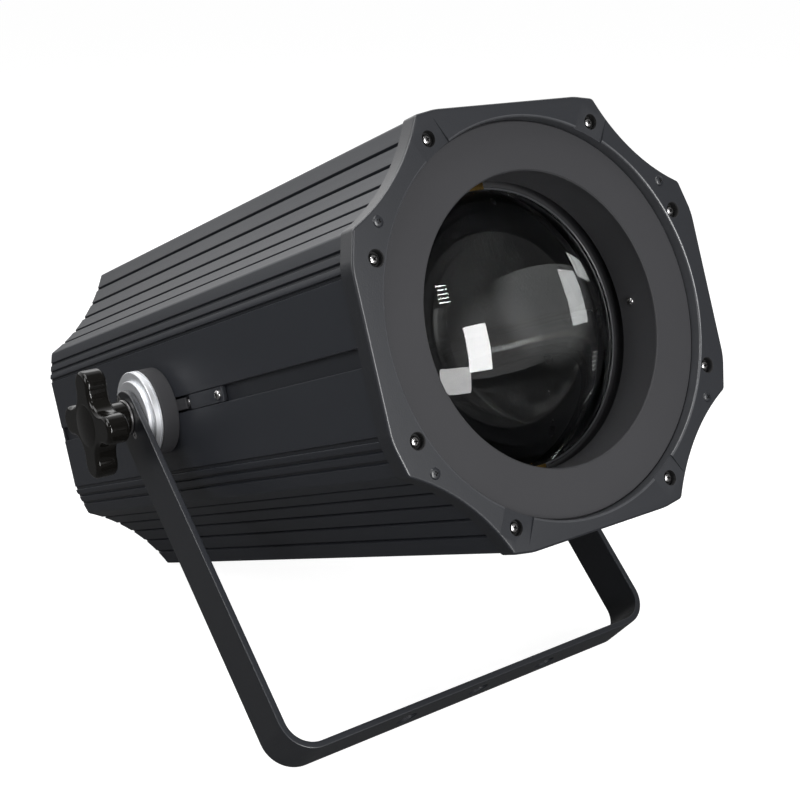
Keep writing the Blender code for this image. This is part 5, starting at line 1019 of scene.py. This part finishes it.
class SPOTLIGHT_OT_yoke(Operator):
    """Bent flat bar with round arm ends and three clamp holes"""
    bl_idname = "spotlight.yoke"
    bl_label = "Yoke"

    def execute(self, context):
        sizes = context.scene.spotlight_yoke
        half = sizes.strap / 2
        mesh = bmesh.new()
        pen = Pen(mesh, half, sizes.bend - sizes.drop)
        pen.line(half, 0)
        pen.arc(0, 0, pi, 24)
        pen.line(-half, sizes.bend - sizes.drop)
        pen.close()
        thicken(mesh, sizes.thickness)
        foot = sizes.bend - sizes.drop
        edges = [e for e in mesh.edges if abs(e.verts[0].co.y - e.verts[1].co.y) < MERGE
                 and not all(abs(v.co.z - foot) < MERGE for v in e.verts)]
        round_edges(mesh, edges, 0.0007, 3)
        # The arm's plane turns to face sideways, its outer face at half_width
        place = at(sizes.half_width, 0, 0) @ Matrix.Rotation(pi / 2, 4, "Z")
        bmesh.ops.transform(mesh, matrix=place, verts=mesh.verts[:])
        cap = [f for f in mesh.faces if all(abs(v.co.z - foot) < MERGE for v in f.verts)]
        bmesh.ops.delete(mesh, geom=cap, context="FACES_ONLY")
        loop = [e for e in mesh.edges if all(abs(v.co.z - foot) < MERGE for v in e.verts)]
        centre = (sizes.half_width - sizes.bend, 0, foot)
        bent = bmesh.ops.spin(mesh, geom=loop, cent=centre, axis=(0, 1, 0), angle=pi / 2, steps=16)
        ends = [item for item in bent["geom_last"] if isinstance(item, bmesh.types.BMEdge)]
        swept = bmesh.ops.extrude_edge_only(mesh, edges=ends)
        for item in swept["geom"]:
            if isinstance(item, bmesh.types.BMVert):
                item.co.x = 0.0
        mirror(mesh, "X")
        bmesh.ops.remove_doubles(mesh, verts=mesh.verts[:], dist=MERGE)
        bmesh.ops.recalc_face_normals(mesh, faces=mesh.faces[:])
        yoke = piece("bent_yoke", mesh, "coat", YOKE_SPACE)
        combine(yoke, self.holes(sizes))
        settle(yoke, "yoke", "charcoal_paint", "yoke")
        self.arm_screws(sizes)
        return {"FINISHED"}

    def holes(self, sizes):
        """Clamp holes with eased rims, the stud's bore and the arm screws' countersinks."""
        ease = 0.0005
        hole, deep = sizes.hole, sizes.thickness
        top = deep + ease
        clamp = lathe([(0, -ease), (hole + ease, -ease), (hole + ease, 0), (hole, ease),
                       (hole, deep - ease), (hole + ease, deep), (hole + ease, top), (0, top)],
                      48, False)
        cone = lathe([(0, -ease), (0.0027, -ease), (0.0027, 0), (0.0016, 0.0014), (0.0016, top),
                      (0, top)], 32, False)
        stud = lathe([(0, -ease), (BORE_RADIUS, -ease), (BORE_RADIUS, top), (0, top)], 40, False)
        whole = repeated(
            (clamp, [at(i * sizes.hole_pitch, 0, -sizes.drop) for i in (-1, 0, 1)]),
            (cone, [self.arm_face(sizes, side, i) for side in (-1, 1) for i in (-1, 1)]),
            (stud, [self.arm_face(sizes, side, 0) for side in (-1, 1)]))
        return piece("holes", whole, "coat", YOKE_SPACE)

    def arm_face(self, sizes, side, i):
        """Place on an arm's outer face: 0 at the tilt axis, -1 and 1 at the disc's screws."""
        return at(side * sizes.half_width, 0, i * DISC_SCREW_OFFSET) @ outward(-side)

    def arm_screws(self, sizes):
        shank, flush, end = 0.0014, 0.0001, 0.006
        points = [(0, flush), (0.0025, flush), (shank, 0.0013), (shank, end), (0, end)]
        data = crossed(lathe(points, 28, False), 0.0013, 0.0003, 0.0014)
        for label, side in SIDES:
            places = [YOKE_SPACE @ self.arm_face(sizes, side, i) for i in (-1, 1)]
            scatter("arm_screw_" + label, data, places, "steel", "yoke")


class SPOTLIGHT_OT_rear(Operator):
    """Small screws of the rear panel"""
    bl_idname = "spotlight.rear"
    bl_label = "Rear panel screws"

    def execute(self, context):
        spread, low = 0.04125, 0.006
        # Name, head radius, height, shank, reach, finish, slot, face and spots of each group
        groups = (
            ("cover_screw", 0.0028, 0.0019, 0.0014, 0.004, "coat", "charcoal_paint", REAR_FACE,
             SCREW_SPOTS),
            ("fan_screw", 0.0030, 0.0020, 0.0015, 0.004, "screw", "steel", REAR_FACE,
             [(x, z - low) for x, z in in_corners(spread, spread)]),
            ("socket_screw", 0.0022, 0.0015, 0.0011, 0.003, "screw", "steel", REAR_FACE + FLANGE,
             [(-0.060, -0.080), (-0.020, -0.080), (-0.0035, -0.068), (0.0155, -0.092),
              (0.0365, -0.068), (0.0555, -0.092)]),
        )
        for name, head, height, shank, reach, kind, slot, face, spots in groups:
            data = pan_screw(head, height, shank, reach)
            places = [LIGHT_SPACE @ at(x, face + height, z) @ TO_BACK.inverted() @ spin(17 + 37 * i)
                      for i, (x, z) in enumerate(spots)]
            scatter(name, data, places, slot, materials=(kind, "recess_shade"))
        return {"FINISHED"}


CAD_FINISHES = {
    "extruded": ("side_rail_left", "side_rail_right", "rear_cover"),
    "flat": ("front_frame", "engine_bulkhead"),
    "steel": ("tilt_stud_left", "tilt_stud_right"),
    "screw": ("guide_rod_left", "guide_rod_right", "lead_screw", "safety_loop", "dmx_latch"),
    "sheet": ("heatsink", "power_supply", "zoom_motor"),
    "mirror": ("reflector",),
    "plastic": ("lens_carriage", "led_holder", "fan_frame", "fan_rotor", "power_inlet", "dmx_in",
                "dmx_out", "fuse_holder", "fuse_cap"),
    "button": ("button_1", "button_2", "button_3", "button_4"),
    "brass": ("lens_clip_top", "lens_clip_bottom"),
    "board": ("control_board",),
    "phosphor": ("led_board",),
    "window": ("display_window",),
}


class SPOTLIGHT_OT_finishes(Operator):
    """Finishes of the solids that stay as they are"""
    bl_idname = "spotlight.finishes"
    bl_label = "Finishes of the solids"

    def execute(self, context):
        for name, nodes in CAD_FINISHES.items():
            for node in nodes:
                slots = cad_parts[node].data.materials
                slots.clear()
                slots.append(FINISHES[name])
        return {"FINISHED"}


class SPOTLIGHT_OT_studio(Operator):
    """Pale floor, soft lights and the camera"""
    bl_idname = "spotlight.studio"
    bl_label = "Studio"

    def execute(self, context):
        sizes = context.scene.spotlight_studio
        self.floor(context)
        self.softbox("top_softbox", -120, 72, 1.7, (1.4, 1.0), sizes.top)
        self.softbox("left_softbox", -95, 30, 2.0, (0.7, 1.0), sizes.left)
        self.softbox("front_softbox", -1, 15, 2.2, (0.52, 0.95), sizes.front)
        self.softbox("back_softbox", 165, 32, 2.4, (1.4, 1.0), sizes.back)
        self.softbox("front_card", -17, -2, 1.1, (0.34, 0.28), sizes.card)
        for i in range(5):
            self.softbox("strip_light_%d" % (i + 1), -17, 42 + 2.4 * i, 2.0, (0.20, 0.020),
                         sizes.strips)
        self.sky(context, sizes)
        self.camera(context)
        return {"FINISHED"}

    def floor(self, context):
        mesh = bmesh.new()
        bmesh.ops.create_grid(mesh, x_segments=1, y_segments=1, size=30.0)
        surface = Finish("floor", "pale_floor")
        seen = surface.path("Is Camera Ray")
        gloss = surface.path("Is Glossy Ray") + surface.path("Is Transmission Ray")
        surface.set(Base_Color=seen * 0.15 - gloss * 0.22 + 0.30, Roughness=0.9,
                    Emission_Color=seen * 0.89 + gloss * 0.03, Emission_Strength=1.0,
                    Specular_IOR_Level=0.0)
        piece("studio_floor", mesh, "floor", Matrix.Identity(4))

    def softbox(self, name, bearing, height, reach, size, power):
        """Lamp that faces LAMP_AIM from a bearing, right of the front, and a height, in degrees."""
        light = bpy.data.lights.new(name, "AREA")
        light.shape = "RECTANGLE"
        light.size, light.size_y = size
        light.energy = power
        turn = radians(bearing)
        level = cos(radians(height))
        toward = Vector((level * sin(turn), -level * cos(turn), sin(radians(height))))
        lamp = link(name, light)
        lamp.location = LAMP_AIM + toward * reach
        lamp.rotation_euler = (-toward).to_track_quat("-Z", "Y").to_euler()
        lamp.visible_camera = False

    def sky(self, context, sizes):
        """Even light; reflections show the white backdrop behind and the dim studio in front."""
        world = bpy.data.worlds.new("studio_sky")
        nodes = Nodes(world)
        seen = nodes.path("Is Camera Ray")
        gloss = nodes.path("Is Glossy Ray") + nodes.path("Is Transmission Ray")
        behind = nodes.toward(BEHIND, 0.10, 0.55) * (sizes.backdrop - sizes.studio)
        glow = nodes.toward(GLOW, 0.84, 0.97) * sizes.glow
        reflected = behind + glow + (sizes.studio - sizes.sky)
        back = nodes.tree.nodes["Background"]
        nodes.feed(back.inputs["Color"], (1.0, 1.0, 1.0, 1.0))
        level = seen * (1.0 - sizes.sky) + gloss * reflected + sizes.sky
        nodes.feed(back.inputs["Strength"], level)
        context.scene.world = world

    def camera(self, context):
        data = bpy.data.cameras.new("photo_camera")
        data.lens = CAMERA_LENS
        data.sensor_width = CAMERA_SENSOR
        camera = link("photo_camera", data)
        turn = Matrix((CAMERA_RIGHT, -CAMERA_DOWN, -CAMERA_FORWARD)).transposed().to_4x4()
        camera.matrix_world = LIGHT_SPACE @ at(*CAMERA_PLACE) @ turn
        context.scene.camera = camera


class SPOTLIGHT_PT_builder(Panel):
    bl_idname = "SPOTLIGHT_PT_builder"
    bl_label = "Stage spotlight"
    bl_space_type = "VIEW_3D"
    bl_region_type = "UI"
    bl_category = "Spotlight"

    def draw(self, context):
        for operator in OPERATORS:
            self.layout.operator(operator.bl_idname)
        for name, group in GROUPS.items():
            box = self.layout.box()
            box.label(text=name.split("_")[1].capitalize())
            for prop in group.__annotations__:
                box.prop(getattr(context.scene, name), prop)


OPERATORS = (SPOTLIGHT_OT_housing, SPOTLIGHT_OT_bezel, SPOTLIGHT_OT_bezel_screws,
             SPOTLIGHT_OT_optics, SPOTLIGHT_OT_joints, SPOTLIGHT_OT_yoke, SPOTLIGHT_OT_rear,
             SPOTLIGHT_OT_finishes, SPOTLIGHT_OT_studio)
CLASSES = (*GROUPS.values(), *OPERATORS, SPOTLIGHT_PT_builder)


def register():
    for kind in CLASSES:
        bpy.utils.register_class(kind)
    for name, group in GROUPS.items():
        setattr(bpy.types.Scene, name, PointerProperty(type=group))


def unregister():
    for name in GROUPS:
        delattr(bpy.types.Scene, name)
    for kind in reversed(CLASSES):
        bpy.utils.unregister_class(kind)


def corners(box):
    return [[float(number) for number in corner] for corner in box]


def main():
    register()
    make_finishes(bpy.context.scene.spotlight_finish)
    bpy.ops.spotlight.housing()
    bpy.ops.spotlight.bezel()
    bpy.ops.spotlight.bezel_screws()
    bpy.ops.spotlight.optics()
    bpy.ops.spotlight.joints()
    bpy.ops.spotlight.yoke()
    bpy.ops.spotlight.rear()
    bpy.ops.spotlight.finishes()
    bpy.ops.spotlight.studio()
    bpy.context.scene.view_settings.view_transform = "Standard"


if __name__ == "__main__":
    main()
